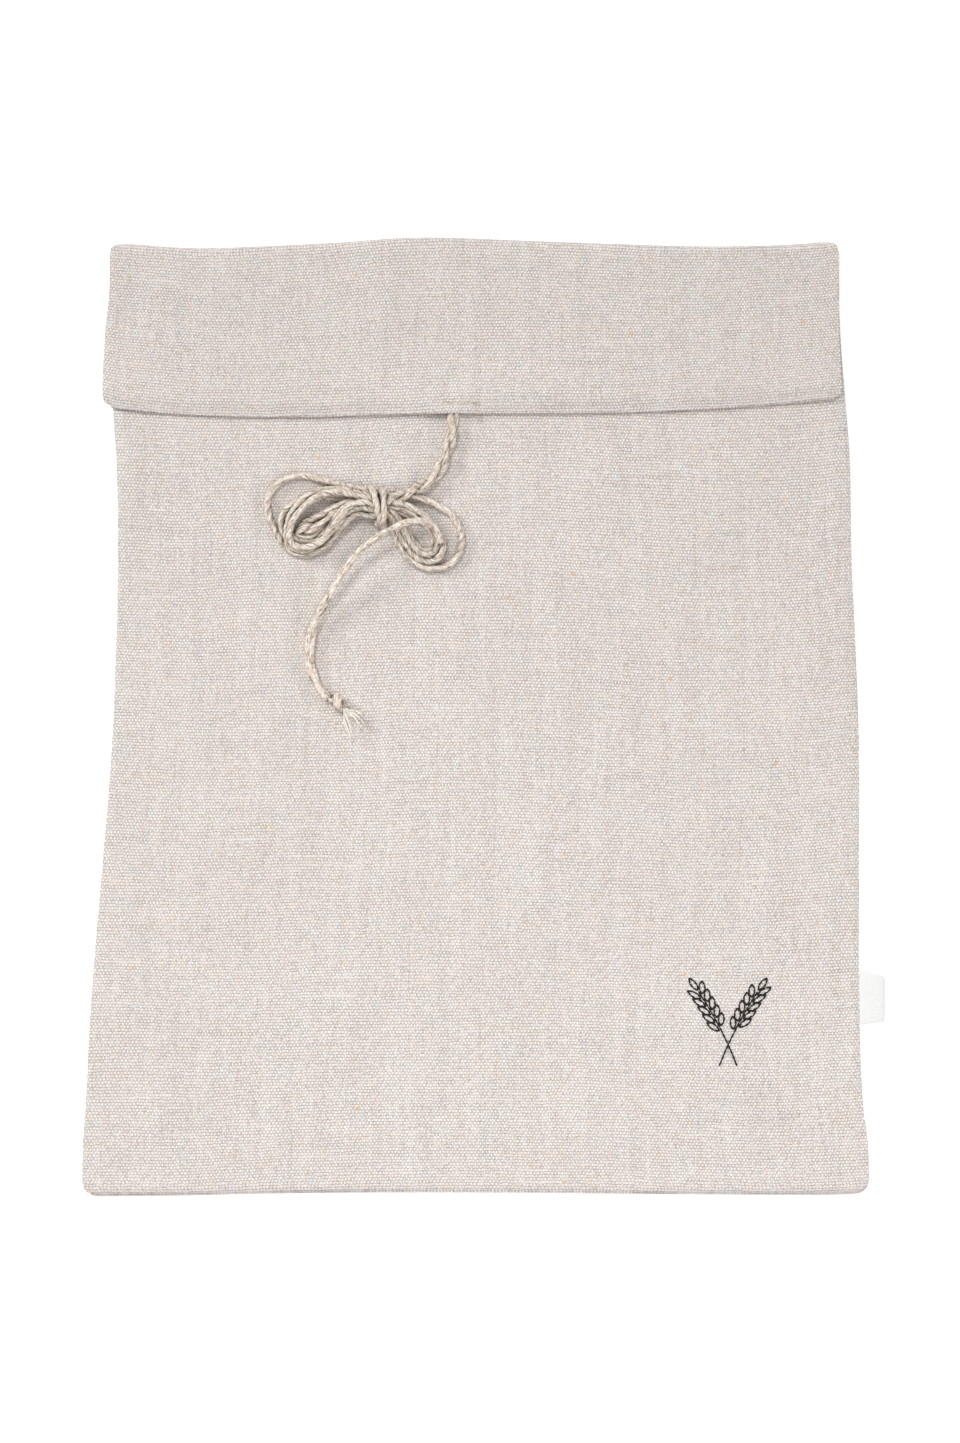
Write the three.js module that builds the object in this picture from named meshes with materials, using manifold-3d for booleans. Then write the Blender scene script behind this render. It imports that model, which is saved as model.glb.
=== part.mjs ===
// Linen bread bag lying on its back, its mouth folded over to the front as a flap.
// A twine tie is wound into a bow on the front, and a tape label stands out of the side seam.
// Millimetres, +Z up, +Y towards the fold, origin under the middle of the bag.

import * as THREE from "three";
import { mergeVertices } from "three/addons/utils/BufferGeometryUtils.js";
import Module from "manifold-3d";

const wasm = await Module();
wasm.setup();

// Cloth
const CLOTH = 1.0; // thickness of the linen
const GAP = 0.3; // between pieces that lie on each other
const INNER_TURN = 1.0; // radius of the front panel's middle where it turns over at the fold
const OUTER_TURN = INNER_TURN + CLOTH + GAP; // the same for the back panel outside it
const AXIS_Z = CLOTH / 2 + OUTER_TURN; // height of the line the two layers turn about
const FRONT_MIDDLE = CLOTH * 1.5 + GAP; // height of the front panel's middle over the surface
const FRONT_TOP = FRONT_MIDDLE + CLOTH / 2;
const FLAP_SETTLE = 0.6; // how far the flap sinks away from the fold
const FRONT_SHORT = 3.6; // how far the front's mouth stops short of the flap's edge

// Hem along the mouth of the back panel
const HEM = { width: 12, extra: 0.5, lift: 0.5, ramp: 4 };

// The flap's edge rides over the tie
const TIE_LIFT = { x: -12.2, rise: 1.3, halfWidth: 9, back: 15 };

// Corners: how far the rounding runs along the side
const BOTTOM_CORNER = { left: 6, right: 5 };
const MOUTH_CORNER = 3;
const FOLD_CORNER = 5.4;

// Grid of the cloth: even columns, and a few more where the flap rides over the tie
const EVEN_COLUMNS = 20;
const TIE_COLUMNS = [0.444, 0.461, 0.478, 0.494];
const BODY_ROWS = 20;
const FOLD_ROWS = 6;
const FLAP_ROWS = 9;

// Sides of the bag below the flap, from the bottom seam to the fold
const SIDES = [
  { y: -185, left: -155.4, right: 147.9 },
  { y: -167, left: -154.8, right: 147.5 },
  { y: -150, left: -153.7, right: 145.4 },
  { y: -110, left: -151.6, right: 144.0 },
  { y: -63, left: -147.8, right: 143.9 },
  { y: -17, left: -144.0, right: 144.0 },
  { y: 25, left: -142.1, right: 142.7 },
  { y: 60, left: -141.3, right: 141.1 },
  { y: 98, left: -141.7, right: 140.5 },
  { y: 118, left: -143.0, right: 139.1 },
  { y: 150, left: -143.6, right: 136.7 },
  { y: 182, left: -144.0, right: 135.7 },
];

// Sides of the flap, by the distance back from the fold
const FLAP_SIDES = [
  { back: 0, left: -144.0, right: 135.7 },
  { back: 16, left: -144.1, right: 135.8 },
  { back: 32, left: -145.8, right: 136.0 },
  { back: 48, left: -146.6, right: 136.6 },
  { back: 66, left: -146.9, right: 137.6 },
];

// Bottom seam, top fold and mouth from left to right
const BOTTOM = [
  { x: -155, y: -184.8 },
  { x: -115, y: -184.4 },
  { x: -75, y: -183.5 },
  { x: 0, y: -183.3 },
  { x: 70, y: -183.9 },
  { x: 130, y: -184.2 },
  { x: 148, y: -183.6 },
];
const FOLD = [
  { x: -146, y: 182.4 },
  { x: -132, y: 181.3 },
  { x: -110, y: 180.1 },
  { x: -60, y: 182.0 },
  { x: -25, y: 184.2 },
  { x: 20, y: 182.8 },
  { x: 80, y: 180.8 },
  { x: 110, y: 181.1 },
  { x: 128, y: 182.2 },
  { x: 137, y: 183.4 },
];
const MOUTH = [
  { x: -147, y: 119.4 },
  { x: -140, y: 117.7 },
  { x: -106, y: 115.3 },
  { x: -70, y: 114.7 },
  { x: -42, y: 115.5 },
  { x: 0, y: 116.1 },
  { x: 44, y: 116.3 },
  { x: 72, y: 117.2 },
  { x: 100, y: 118.7 },
  { x: 138, y: 122.0 },
];

// Where the front panel stands off the back: soft swells, longer one way than the other
const SWELLS = [
  { x: 10, y: -60, long: 105, wide: 75, turn: 84, rise: 1.5 },
  { x: -78, y: 36, long: 62, wide: 20, turn: 62, rise: 0.7 },
  { x: 72, y: 52, long: 70, wide: 24, turn: 108, rise: 0.8 },
  { x: -96, y: -118, long: 60, wide: 22, turn: 128, rise: 0.8 },
  { x: 84, y: -128, long: 52, wide: 22, turn: 40, rise: 0.7 },
  { x: 20, y: 86, long: 80, wide: 16, turn: 4, rise: 0.5 },
];
const SWELL_MARGIN = 24; // the swells die out this far in from the seams and the flap
const SWELL_TOP = 108;

// Tape label in the right-hand seam: folded over, its ends at the seam, its fold a little narrower
const LABEL = { y: -108, height: 20.4, foldHeight: 16.6, reach: 9.8, layer: 1.0 };
const LABEL_REST = { z: 0.3, crown: 0.2, slant: 0.8, fromSeam: 0.7 };

// Twine
const STRAND = 1.2; // radius of one strand
const SIDES_OF_STRAND = 8;
const PAIR = STRAND + GAP / 2; // half the distance between two strands side by side
const BOW = { x: -40.0, y: 79.9, axis: -10 }; // middle of the wrap and the way its bundle lies
const LEFT_ROOT = { x: -42.0, y: 82.4 }; // where the loops of each side gather in the wrap
const RIGHT_ROOT = { x: -36.4, y: 80.4 };
const WRAP = { turns: 2.7, pitch: 2.4, across: 6.9, up: 3.5, lean: 1.3, fan: 0.45 };
const BUNDLE = { along: 4.8, across: 5.6, up: 3.1 }; // half sizes of the strands packed in the wrap
const BOW_BASE = STRAND + GAP;

// Loops of the bow: way out from the root, reach to the tip, half widths of the two sides,
// sideways bow, height of the tip over the cloth and of the root over the middle of the wrap
const LEFT_LOOPS = [
  { turn: 189, reach: 42.3, upper: 20.5, lower: 13.0, bow: -2.5, tip: 0.0, root: -0.4 },
  { turn: 193, reach: 37.5, upper: 12.0, lower: 14.5, bow: 1.0, tip: 0.8, root: -1.5 },
  { turn: 206, reach: 38.5, upper: 11.0, lower: 14.5, bow: 6.0, tip: 3.0, root: 1.3 },
  { turn: 206, reach: 35.8, upper: 8.4, lower: 13.0, bow: 6.2, tip: 3.7, root: 2.0 },
  { turn: 198, reach: 28.6, upper: 5.6, lower: 5.0, bow: 3.4, tip: 2.2, root: 0.6 },
  { turn: 187, reach: 37.4, upper: 3.4, lower: 6.6, bow: 0.4, tip: 0.6, root: -0.8 },
];
const RIGHT_LOOPS = [
  { turn: -38, reach: 34.0, upper: 14.3, lower: 14.3, bow: 1.5, tip: 0.0, root: 0.6 },
  { turn: -42, reach: 28.6, upper: 10.4, lower: 10.4, bow: 0.8, tip: 1.2, root: -1.4 },
  { turn: -43, reach: 25.8, upper: 8.2, lower: 8.2, bow: 0.6, tip: 3.0, root: 1.6 },
  { turn: -44, reach: 22.4, upper: 5.4, lower: 5.4, bow: 0.4, tip: 2.0, root: 0.2 },
];
const LOOP_ROUND = 0.52; // how soon a loop opens out from its root
const LOOP_START = 0.07; // share of a loop's run that is hidden in the bundle, at each end
const LOOP_STEPS = 20;
const LOOP_SIDES = 6;

// The lead: two strands from under the flap to the bow, lightly twisted together
const LEAD = [
  { x: -12.1, y: 118.3, up: 0.0 },
  { x: -12.3, y: 110.7, up: 0.0 },
  { x: -13.1, y: 106.5, up: 0.0 },
  { x: -15.6, y: 98.0, up: 0.0 },
  { x: -19.1, y: 91.4, up: 0.2 },
  { x: -25.0, y: 87.4, up: 0.8 },
  { x: -32.7, y: 84.0, up: 2.2 },
  { x: -38.5, y: 81.4, up: 3.2 },
];
const LEAD_TURNS = 1.25;
const LEAD_FLAT = 0.12; // share of the lead's length that lies flat, under and just outside the flap
const LEAD_IN_BOW = 0.7; // share of the lead's length at which the bow takes over

// The tail: one strand over the bow and down to the cloth, to the knot
const TAIL = [
  { x: -17.0, y: 66.0, up: 4.2 },
  { x: -17.8, y: 70.6, up: 5.4 },
  { x: -20.8, y: 73.9, up: 7.0 },
  { x: -26.0, y: 74.9, up: 8.6 },
  { x: -31.6, y: 73.1, up: 9.2 },
  { x: -39.3, y: 69.3, up: 8.6 },
  { x: -48.9, y: 61.9, up: 6.6 },
  { x: -57.4, y: 49.9, up: 4.0 },
  { x: -65.5, y: 35.4, up: 0.7 },
  { x: -67.8, y: 22.7, up: 0.0 },
  { x: -66.4, y: 16.4, up: 0.0 },
  { x: -63.6, y: 9.9, up: 0.0 },
  { x: -60.1, y: 6.4, up: 0.6 },
];
const TAIL_IN_BOW = 0.25; // share of the tail's length that belongs to the bow

// Knot near the end of the tail, and the frayed ends beyond it
const KNOT = { x: -56.4, y: 5.0, axis: -30, turns: 2, pitch: 1.9, up: 1.5, across: 2.1, strand: 1.0 };
const KNOT_CORE = { half: 3.0, radius: 1.2 };
const FRAY_ROOT = { x: 1.2, y: -0.8 }; // where the ends leave the knot
const FRAY_LIFT = [1.2, 0.5, 0]; // height over the cloth at the start, the bend and the tip
const FRAY = [
  { x: -53.2, y: 2.0, bendX: -49.6, bendY: -0.6, tipX: -45.8, tipY: -5.8, radius: 0.55 },
  { x: -54.0, y: 1.4, bendX: -53.4, bendY: -3.4, tipX: -51.6, tipY: -9.6, radius: 0.55 },
  { x: -52.8, y: 2.6, bendX: -46.6, bendY: -0.8, tipX: -42.4, tipY: -6.6, radius: 0.5 },
  { x: -52.6, y: 3.0, bendX: -49.8, bendY: 1.4, tipX: -47.6, tipY: -0.8, radius: 0.45 },
];

const lerp = THREE.MathUtils.lerp;
const smooth = THREE.MathUtils.smoothstep;
const radians = THREE.MathUtils.degToRad;

// Smooth curve through a table: the value of one column at a place along another
function through(rows, along, column) {
  const slopes = rows.map((row, i) => {
    const before = rows[Math.max(i - 1, 0)];
    const after = rows[Math.min(i + 1, rows.length - 1)];
    return (after[column] - before[column]) / (after[along] - before[along]);
  });
  return (place) => {
    const at = THREE.MathUtils.clamp(place, rows[0][along], rows[rows.length - 1][along]);
    const next = rows.findIndex((row) => row[along] > at);
    const i = next < 0 ? rows.length - 2 : next - 1;
    const span = rows[i + 1][along] - rows[i][along];
    const t = (at - rows[i][along]) / span;
    const s = 1 - t;
    const ends = rows[i][column] * (1 + 2 * t) * s * s + rows[i + 1][column] * (3 - 2 * t) * t * t;
    return ends + span * t * s * (slopes[i] * s - slopes[i + 1] * t);
  };
}

const leftSide = through(SIDES, "y", "left");
const rightSide = through(SIDES, "y", "right");
const flapLeft = through(FLAP_SIDES, "back", "left");
const flapRight = through(FLAP_SIDES, "back", "right");
const bottomLine = through(BOTTOM, "x", "y");
const foldLine = through(FOLD, "x", "y");
const mouthLine = through(MOUTH, "x", "y");

// How far a rounded corner draws the side in, near an edge that is square to it
function cornerInset(radius, distance) {
  const left = THREE.MathUtils.clamp(radius - distance, 0, radius);
  return radius - Math.sqrt(radius * radius - left * left);
}

// Height the front panel gains from its swells
function swell(x, y) {
  const sideFade = smooth(Math.min(x - leftSide(y), rightSide(y) - x), 0, SWELL_MARGIN);
  const endFade = smooth(y - bottomLine(x), 0, SWELL_MARGIN) * smooth(SWELL_TOP - y, 0, SWELL_MARGIN);
  const sum = SWELLS.reduce((total, row) => {
    const turn = radians(row.turn);
    const along = (x - row.x) * Math.cos(turn) + (y - row.y) * Math.sin(turn);
    const across = (y - row.y) * Math.cos(turn) - (x - row.x) * Math.sin(turn);
    return total + row.rise * Math.exp(-((along / row.long) ** 2) - (across / row.wide) ** 2);
  }, 0);
  return sum * sideFade * endFade;
}

function frontTop(x, y) {
  return FRONT_TOP + swell(x, y);
}

// Rows of the cloth from the bottom seam, round the fold and down the flap
function stations() {
  const corner = [0, 0.002, 0.006, 0.013];
  const body = Array.from({ length: BODY_ROWS }, (_, i) => (i + 1) / BODY_ROWS);
  const fold = Array.from({ length: FOLD_ROWS }, (_, i) => (i + 1) / FOLD_ROWS);
  const flap = Array.from({ length: FLAP_ROWS }, (_, i) => ((i + 1) / FLAP_ROWS) ** 0.72);
  return [
    ...[...corner, ...body].map((t) => ({ zone: "body", t })),
    ...fold.map((t) => ({ zone: "fold", t })),
    ...[...flap.slice(0, -1), 0.988, 1].map((t) => ({ zone: "flap", t })),
  ];
}

// Columns of the cloth, as shares of its width
function columns() {
  const even = Array.from({ length: EVEN_COLUMNS + 1 }, (_, i) => i / EVEN_COLUMNS);
  const away = even.filter((u) => TIE_COLUMNS.every((tie) => Math.abs(u - tie) > 0.3 / EVEN_COLUMNS));
  return [...away, ...TIE_COLUMNS].sort((a, b) => a - b);
}

// A flat grid with two faces, laid into place point by point
function clothSolid(rows, place) {
  const shares = columns();
  const grid = new THREE.BoxGeometry(1, 1, 1, shares.length - 1, rows.length - 1, 1);
  const points = grid.getAttribute("position");
  for (let i = 0; i < points.count; i += 1) {
    const row = rows[Math.round((points.getY(i) + 0.5) * (rows.length - 1))];
    const share = shares[Math.round((points.getX(i) + 0.5) * (shares.length - 1))];
    const spot = place(row, share, points.getZ(i));
    points.setXYZ(i, spot.x, spot.y, spot.z);
  }
  return closed(grid);
}

function closed(geometry) {
  geometry.deleteAttribute("normal");
  geometry.deleteAttribute("uv");
  const joined = mergeVertices(geometry, 1e-4);
  joined.computeVertexNormals();
  return joined;
}

// One panel: flat from the bottom seam, turned over at the fold, back down as the flap
function panel(layer) {
  const outer = OUTER_TURN + CLOTH / 2;
  return clothSolid(stations(), (row, u, w) => {
    const level = lerp(BOTTOM[0].y, FOLD[0].y, row.t);
    if (row.zone === "body") {
      const fromBottom = level - BOTTOM[0].y;
      const atFold = cornerInset(FOLD_CORNER, outer + FOLD[0].y - level);
      const left = leftSide(level) + cornerInset(BOTTOM_CORNER.left, fromBottom) + atFold;
      const right = rightSide(level) - cornerInset(BOTTOM_CORNER.right, fromBottom) - atFold;
      const x = lerp(left, right, u);
      const y = lerp(bottomLine(x), foldLine(x) - outer, row.t);
      return new THREE.Vector3(x, y, layer.middle(x, y) + w * CLOTH);
    }
    if (row.zone === "fold") {
      const angle = Math.PI * row.t;
      const atFold = cornerInset(FOLD_CORNER, outer * (1 - Math.sin(angle)));
      const x = lerp(flapLeft(0) + atFold, flapRight(0) - atFold, u);
      const radius = layer.turn - w * CLOTH;
      const y = foldLine(x) - outer + radius * Math.sin(angle);
      return new THREE.Vector3(x, y, AXIS_Z - radius * Math.cos(angle));
    }
    const guess = lerp(flapLeft(0), flapRight(0), u);
    const length = foldLine(guess) - outer - mouthLine(guess) - layer.short;
    const back = length * row.t;
    const inset = cornerInset(MOUTH_CORNER, length - back) + cornerInset(FOLD_CORNER, outer + back);
    const x = lerp(flapLeft(back) + inset, flapRight(back) - inset, u);
    const y = lerp(foldLine(x) - outer, mouthLine(x) + layer.short, row.t);
    const z = AXIS_Z + layer.turn - w * CLOTH - FLAP_SETTLE * smooth(back, 0, 30);
    return new THREE.Vector3(x, y, z + layer.mouth(x, length - back, w));
  });
}

// Hem and tie lift at the mouth of the back panel; the hem is turned to the inner face
function backMouth(x, fromEdge, w) {
  const hem = 1 - smooth(fromEdge, HEM.width, HEM.width + HEM.ramp);
  const tie = Math.exp(-(((x - TIE_LIFT.x) / TIE_LIFT.halfWidth) ** 2));
  const lift = HEM.lift * hem + TIE_LIFT.rise * tie * (1 - smooth(fromEdge, 4, TIE_LIFT.back));
  return lift - (w > 0 ? HEM.extra * hem : 0);
}

const backPanel = panel({
  turn: OUTER_TURN,
  short: 0,
  middle: () => CLOTH / 2,
  mouth: backMouth,
});
const frontPanel = panel({
  turn: INNER_TURN,
  short: FRONT_SHORT,
  middle: (x, y) => FRONT_MIDDLE + swell(x, y),
  mouth: () => 0,
});

// Tape label: a folded strip that narrows a little to its fold, beside the seam
function sideLabel() {
  const seam = rightSide(LABEL.y) + LABEL_REST.fromSeam;
  const inner = GAP / 2;
  const outer = inner + LABEL.layer;
  const section = new THREE.Shape();
  section.moveTo(0, inner);
  section.lineTo(LABEL.reach - outer, inner);
  section.absarc(LABEL.reach - outer, 0, inner, Math.PI / 2, -Math.PI / 2, true);
  section.lineTo(0, -inner);
  section.lineTo(0, -outer);
  section.lineTo(LABEL.reach - outer, -outer);
  section.absarc(LABEL.reach - outer, 0, outer, -Math.PI / 2, Math.PI / 2, false);
  section.lineTo(0, outer);
  section.closePath();
  const tape = new THREE.ExtrudeGeometry(section, {
    depth: LABEL.height,
    steps: 4,
    bevelEnabled: false,
    curveSegments: 6,
  });
  tape.translate(0, 0, -LABEL.height / 2);
  const points = tape.getAttribute("position");
  for (let i = 0; i < points.count; i += 1) {
    const out = points.getX(i) / LABEL.reach;
    const along = points.getZ(i) * lerp(1, LABEL.foldHeight / LABEL.height, out);
    const middle = LABEL_REST.z + outer + LABEL_REST.crown * Math.sin(Math.PI * out);
    const y = LABEL.y - along - LABEL_REST.slant * out;
    points.setXYZ(i, seam + points.getX(i), y, middle + points.getY(i));
  }
  return closed(tape);
}

// Round section for a strand, as a polygon
function roundSection(radius, sides) {
  const corners = Array.from({ length: sides }, (_, i) => {
    const angle = (2 * Math.PI * (i + 0.5)) / sides;
    return new THREE.Vector2(radius * Math.cos(angle), radius * Math.sin(angle));
  });
  return new THREE.Shape(corners);
}

function strand(points, radius, steps, sides = SIDES_OF_STRAND) {
  const path = new THREE.CatmullRomCurve3(points);
  const tube = new THREE.ExtrudeGeometry(roundSection(radius, sides), {
    steps,
    extrudePath: path,
    bevelEnabled: false,
  });
  return closed(tube);
}

// Part of a route between two shares of its length, as evenly spaced points
function stretch(points, from, to, count) {
  const route = new THREE.CatmullRomCurve3(points);
  route.arcLengthDivisions = 400;
  return Array.from({ length: count + 1 }, (_, i) => route.getPointAt(lerp(from, to, i / count)));
}

function solidOf(geometry) {
  return new wasm.Manifold(
    new wasm.Mesh({
      numProp: 3,
      vertProperties: new Float32Array(geometry.getAttribute("position").array),
      triVerts: new Uint32Array(geometry.getIndex().array),
    }),
  );
}

// Strands grown into one body; the small voids closed in between them are filled
function fused(geometries) {
  const shells = geometries.map(solidOf).reduce((sum, one) => sum.add(one)).decompose();
  const whole = shells.reduce((most, one) => (one.volume() > most.volume() ? one : most));
  const mesh = whole.getMesh();
  const geometry = new THREE.BufferGeometry();
  geometry.setAttribute("position", new THREE.BufferAttribute(new Float32Array(mesh.vertProperties), 3));
  geometry.setIndex(new THREE.BufferAttribute(new Uint32Array(mesh.triVerts), 1));
  geometry.computeVertexNormals();
  return geometry;
}

const wrapMiddle = frontTop(BOW.x, BOW.y) + BOW_BASE + WRAP.up;

// One loop of the bow: out from its root along one side and back along the other
function loopRoute(row, root, hand) {
  const out = new THREE.Vector2(Math.cos(radians(row.turn)), Math.sin(radians(row.turn)));
  const side = new THREE.Vector2(out.y, -out.x).multiplyScalar(hand);
  return Array.from({ length: LOOP_STEPS + 1 }, (_, i) => {
    const t = lerp(LOOP_START, 1 - LOOP_START, i / LOOP_STEPS);
    const along = (1 - Math.cos(2 * Math.PI * t)) / 2;
    const width = t < 0.5 ? row.upper : row.lower;
    const across = width * Math.sin(2 * Math.PI * t) * along ** LOOP_ROUND;
    const sideways = across + row.bow * Math.sin(Math.PI * Math.sqrt(along));
    const x = root.x + out.x * row.reach * along + side.x * sideways;
    const y = root.y + out.y * row.reach * along + side.y * sideways;
    const low = frontTop(x, y) + BOW_BASE + row.tip;
    return new THREE.Vector3(x, y, lerp(wrapMiddle + row.root, low, smooth(along, 0.02, 0.7)));
  });
}

// Turns of twine that bind the loops together at the middle, spread at the top
function wrapRoute() {
  const count = Math.round(WRAP.turns * 12);
  const axis = radians(BOW.axis);
  return Array.from({ length: count + 1 }, (_, i) => {
    const turn = (i / count - 0.5) * WRAP.turns;
    const angle = 2 * Math.PI * turn - Math.PI / 2;
    const across = WRAP.across * Math.cos(angle);
    const along = WRAP.pitch * turn * (1 + WRAP.fan * Math.cos(angle)) - WRAP.lean * Math.cos(angle);
    const x = BOW.x + along * Math.cos(axis) - across * Math.sin(axis);
    const y = BOW.y + along * Math.sin(axis) + across * Math.cos(axis);
    return new THREE.Vector3(x, y, wrapMiddle + WRAP.up * Math.sin(angle));
  });
}

// The strands packed side by side inside the wrap
function bundle() {
  const packed = new THREE.SphereGeometry(1, 12, 8);
  packed.rotateY(Math.PI / 2);
  packed.scale(BUNDLE.along, BUNDLE.across, BUNDLE.up);
  packed.rotateZ(radians(BOW.axis));
  packed.translate(BOW.x, BOW.y, wrapMiddle);
  return closed(packed);
}

// One strand of the lead, wound about the other
function leadRoute(hand) {
  const middle = stretch(LEAD.map((row) => new THREE.Vector3(row.x, row.y, row.up)), 0, 1, 36);
  return middle.map((spot, i) => {
    const before = middle[Math.max(i - 1, 0)];
    const after = middle[Math.min(i + 1, middle.length - 1)];
    const across = new THREE.Vector2(after.y - before.y, before.x - after.x).normalize();
    const twisted = Math.max(i / (middle.length - 1) - LEAD_FLAT, 0) / (1 - LEAD_FLAT);
    const angle = 2 * Math.PI * LEAD_TURNS * twisted;
    const offset = hand * PAIR * Math.cos(angle);
    const x = spot.x + across.x * offset;
    const y = spot.y + across.y * offset;
    const lift = PAIR * (Math.abs(Math.sin(angle)) + hand * Math.sin(angle));
    return new THREE.Vector3(x, y, frontTop(x, y) + BOW_BASE + spot.z + lift);
  });
}

function tailRoute() {
  return TAIL.map((row) => new THREE.Vector3(row.x, row.y, frontTop(row.x, row.y) + BOW_BASE + row.up));
}

// The knot: turns of the twine about itself, and the loosened ends beyond
function endKnot() {
  const axis = radians(KNOT.axis);
  const middle = frontTop(KNOT.x, KNOT.y) + GAP + KNOT.up + KNOT.strand;
  const count = KNOT.turns * 12;
  const turns = Array.from({ length: count + 1 }, (_, i) => {
    const turn = (i / count - 0.5) * KNOT.turns;
    const angle = 2 * Math.PI * turn - Math.PI / 2;
    const across = KNOT.across * Math.cos(angle);
    const along = KNOT.pitch * turn;
    const x = KNOT.x + along * Math.cos(axis) - across * Math.sin(axis);
    const y = KNOT.y + along * Math.sin(axis) + across * Math.cos(axis);
    return new THREE.Vector3(x, y, middle + KNOT.up * Math.sin(angle));
  });
  const core = [-1, 0, 1].map((end) => {
    const along = end * KNOT_CORE.half;
    return new THREE.Vector3(KNOT.x + along * Math.cos(axis), KNOT.y + along * Math.sin(axis), middle);
  });
  const ends = FRAY.map((row) => {
    const spots = [
      new THREE.Vector3(KNOT.x + FRAY_ROOT.x, KNOT.y + FRAY_ROOT.y, middle),
      new THREE.Vector3(row.x, row.y, 0),
      new THREE.Vector3(row.bendX, row.bendY, 0),
      new THREE.Vector3(row.tipX, row.tipY, 0),
    ];
    spots.slice(1).forEach((spot, i) => {
      spot.z = frontTop(spot.x, spot.y) + GAP + row.radius + FRAY_LIFT[i];
    });
    return strand(spots, row.radius, 8, 6);
  });
  return fused([strand(turns, KNOT.strand, 24), strand(core, KNOT_CORE.radius, 4), ...ends]);
}

const leads = [1, -1].map(leadRoute);
const tail = tailRoute();
const gapShare = (route) => GAP / new THREE.CatmullRomCurve3(route).getLength();

const loops = [
  ...LEFT_LOOPS.map((row) => loopRoute(row, LEFT_ROOT, 1)),
  ...RIGHT_LOOPS.map((row) => loopRoute(row, RIGHT_ROOT, -1)),
];
const bow = fused([
  bundle(),
  ...loops.map((route) => strand(route, STRAND, LOOP_STEPS, LOOP_SIDES)),
  strand(wrapRoute(), STRAND, 28, LOOP_SIDES),
  ...leads.map((route) => strand(stretch(route, LEAD_IN_BOW + gapShare(route), 1, 6), STRAND, 6)),
  strand(stretch(tail, 0, TAIL_IN_BOW - gapShare(tail), 6), STRAND, 6),
]);

const linen = new THREE.MeshStandardMaterial({ color: 0xdfd6cd, roughness: 0.92, metalness: 0 });
const tape = new THREE.MeshStandardMaterial({ color: 0xf4f3f0, roughness: 0.7, metalness: 0 });
const twine = new THREE.MeshStandardMaterial({ color: 0xc6b8a6, roughness: 0.95, metalness: 0 });

const bag = new THREE.Group();
function add(name, geometry, material) {
  const mesh = new THREE.Mesh(geometry, material);
  mesh.name = name;
  bag.add(mesh);
}
add("back_panel", backPanel, linen);
add("front_panel", frontPanel, linen);
add("side_label", sideLabel(), tape);
add("twine_lead_left", strand(stretch(leads[1], 0, LEAD_IN_BOW, 16), STRAND, 14), twine);
add("twine_lead_right", strand(stretch(leads[0], 0, LEAD_IN_BOW, 16), STRAND, 14), twine);
add("twine_bow", bow, twine);
add("twine_tail", strand(stretch(tail, TAIL_IN_BOW, 1, 18), STRAND, 24), twine);
add("twine_knot", endKnot(), twine);

export default bag;
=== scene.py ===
import bpy
import math
import random
import numpy as np
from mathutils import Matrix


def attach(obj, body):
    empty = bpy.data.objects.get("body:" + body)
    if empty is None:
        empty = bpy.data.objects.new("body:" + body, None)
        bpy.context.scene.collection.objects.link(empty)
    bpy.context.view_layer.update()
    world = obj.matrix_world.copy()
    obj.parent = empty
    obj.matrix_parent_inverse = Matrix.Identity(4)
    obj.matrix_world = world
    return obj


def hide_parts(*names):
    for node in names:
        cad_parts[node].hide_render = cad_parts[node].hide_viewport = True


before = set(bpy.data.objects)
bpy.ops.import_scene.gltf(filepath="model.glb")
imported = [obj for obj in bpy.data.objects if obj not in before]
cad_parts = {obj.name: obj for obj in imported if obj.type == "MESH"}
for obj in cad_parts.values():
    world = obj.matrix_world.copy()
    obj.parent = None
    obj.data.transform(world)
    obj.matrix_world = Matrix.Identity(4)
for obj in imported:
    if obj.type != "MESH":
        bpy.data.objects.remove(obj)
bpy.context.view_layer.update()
mm = 0.001  # every size below is in millimetres, as in the part's source
random.seed(11)
print("frame loaded:", sorted(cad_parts))

# the photo looks straight down on the bag; its long side covers 555.6 mm of the table
cameraSet = {"lens": 65.0, "sensor": 36.0, "x": -1.9, "y": -2.3, "plane": 3.0, "longSide": 555.6}


def makeCamera(c):
    data = bpy.data.cameras.new("camera")
    data.lens, data.sensor_width = c["lens"], c["sensor"]
    height = c["plane"] + c["longSide"] * c["lens"] / c["sensor"]
    camera = bpy.data.objects.new("camera", data)
    camera.location = (c["x"] * mm, c["y"] * mm, height * mm)
    bpy.context.collection.objects.link(camera)
    bpy.context.scene.camera = camera


makeCamera(cameraSet)
print("camera placed")

# outline of the bag, the same rows as the part's source: y, left, right
sideRows = [
    (-185, -155.4, 147.9), (-167, -154.8, 147.5), (-150, -153.7, 145.4), (-110, -151.6, 144.0),
    (-63, -147.8, 143.9), (-17, -144.0, 144.0), (25, -142.1, 142.7), (60, -141.3, 141.1),
    (98, -141.7, 140.5), (118, -143.0, 139.1), (150, -143.6, 136.7), (182, -144.0, 135.7),
]
# sides of the flap: distance back from the fold, left, right
flapRows = [(0, -144.0, 135.7), (16, -144.1, 135.8), (32, -145.8, 136.0), (48, -146.6, 136.6), (66, -146.9, 137.6)]
# bottom seam, top fold and mouth: x, y
bottomRows = [(-155, -184.8), (-115, -184.4), (-75, -183.5), (0, -183.3), (70, -183.9), (130, -184.2), (148, -183.6)]
foldRows = [
    (-146, 182.4), (-132, 181.3), (-110, 180.1), (-60, 182.0), (-25, 184.2),
    (20, 182.8), (80, 180.8), (110, 181.1), (128, 182.2), (137, 183.4),
]
mouthRows = [
    (-147, 119.4), (-140, 117.7), (-106, 115.3), (-70, 114.7), (-42, 115.5),
    (0, 116.1), (44, 116.3), (72, 117.2), (100, 118.7), (138, 122.0),
]
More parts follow.
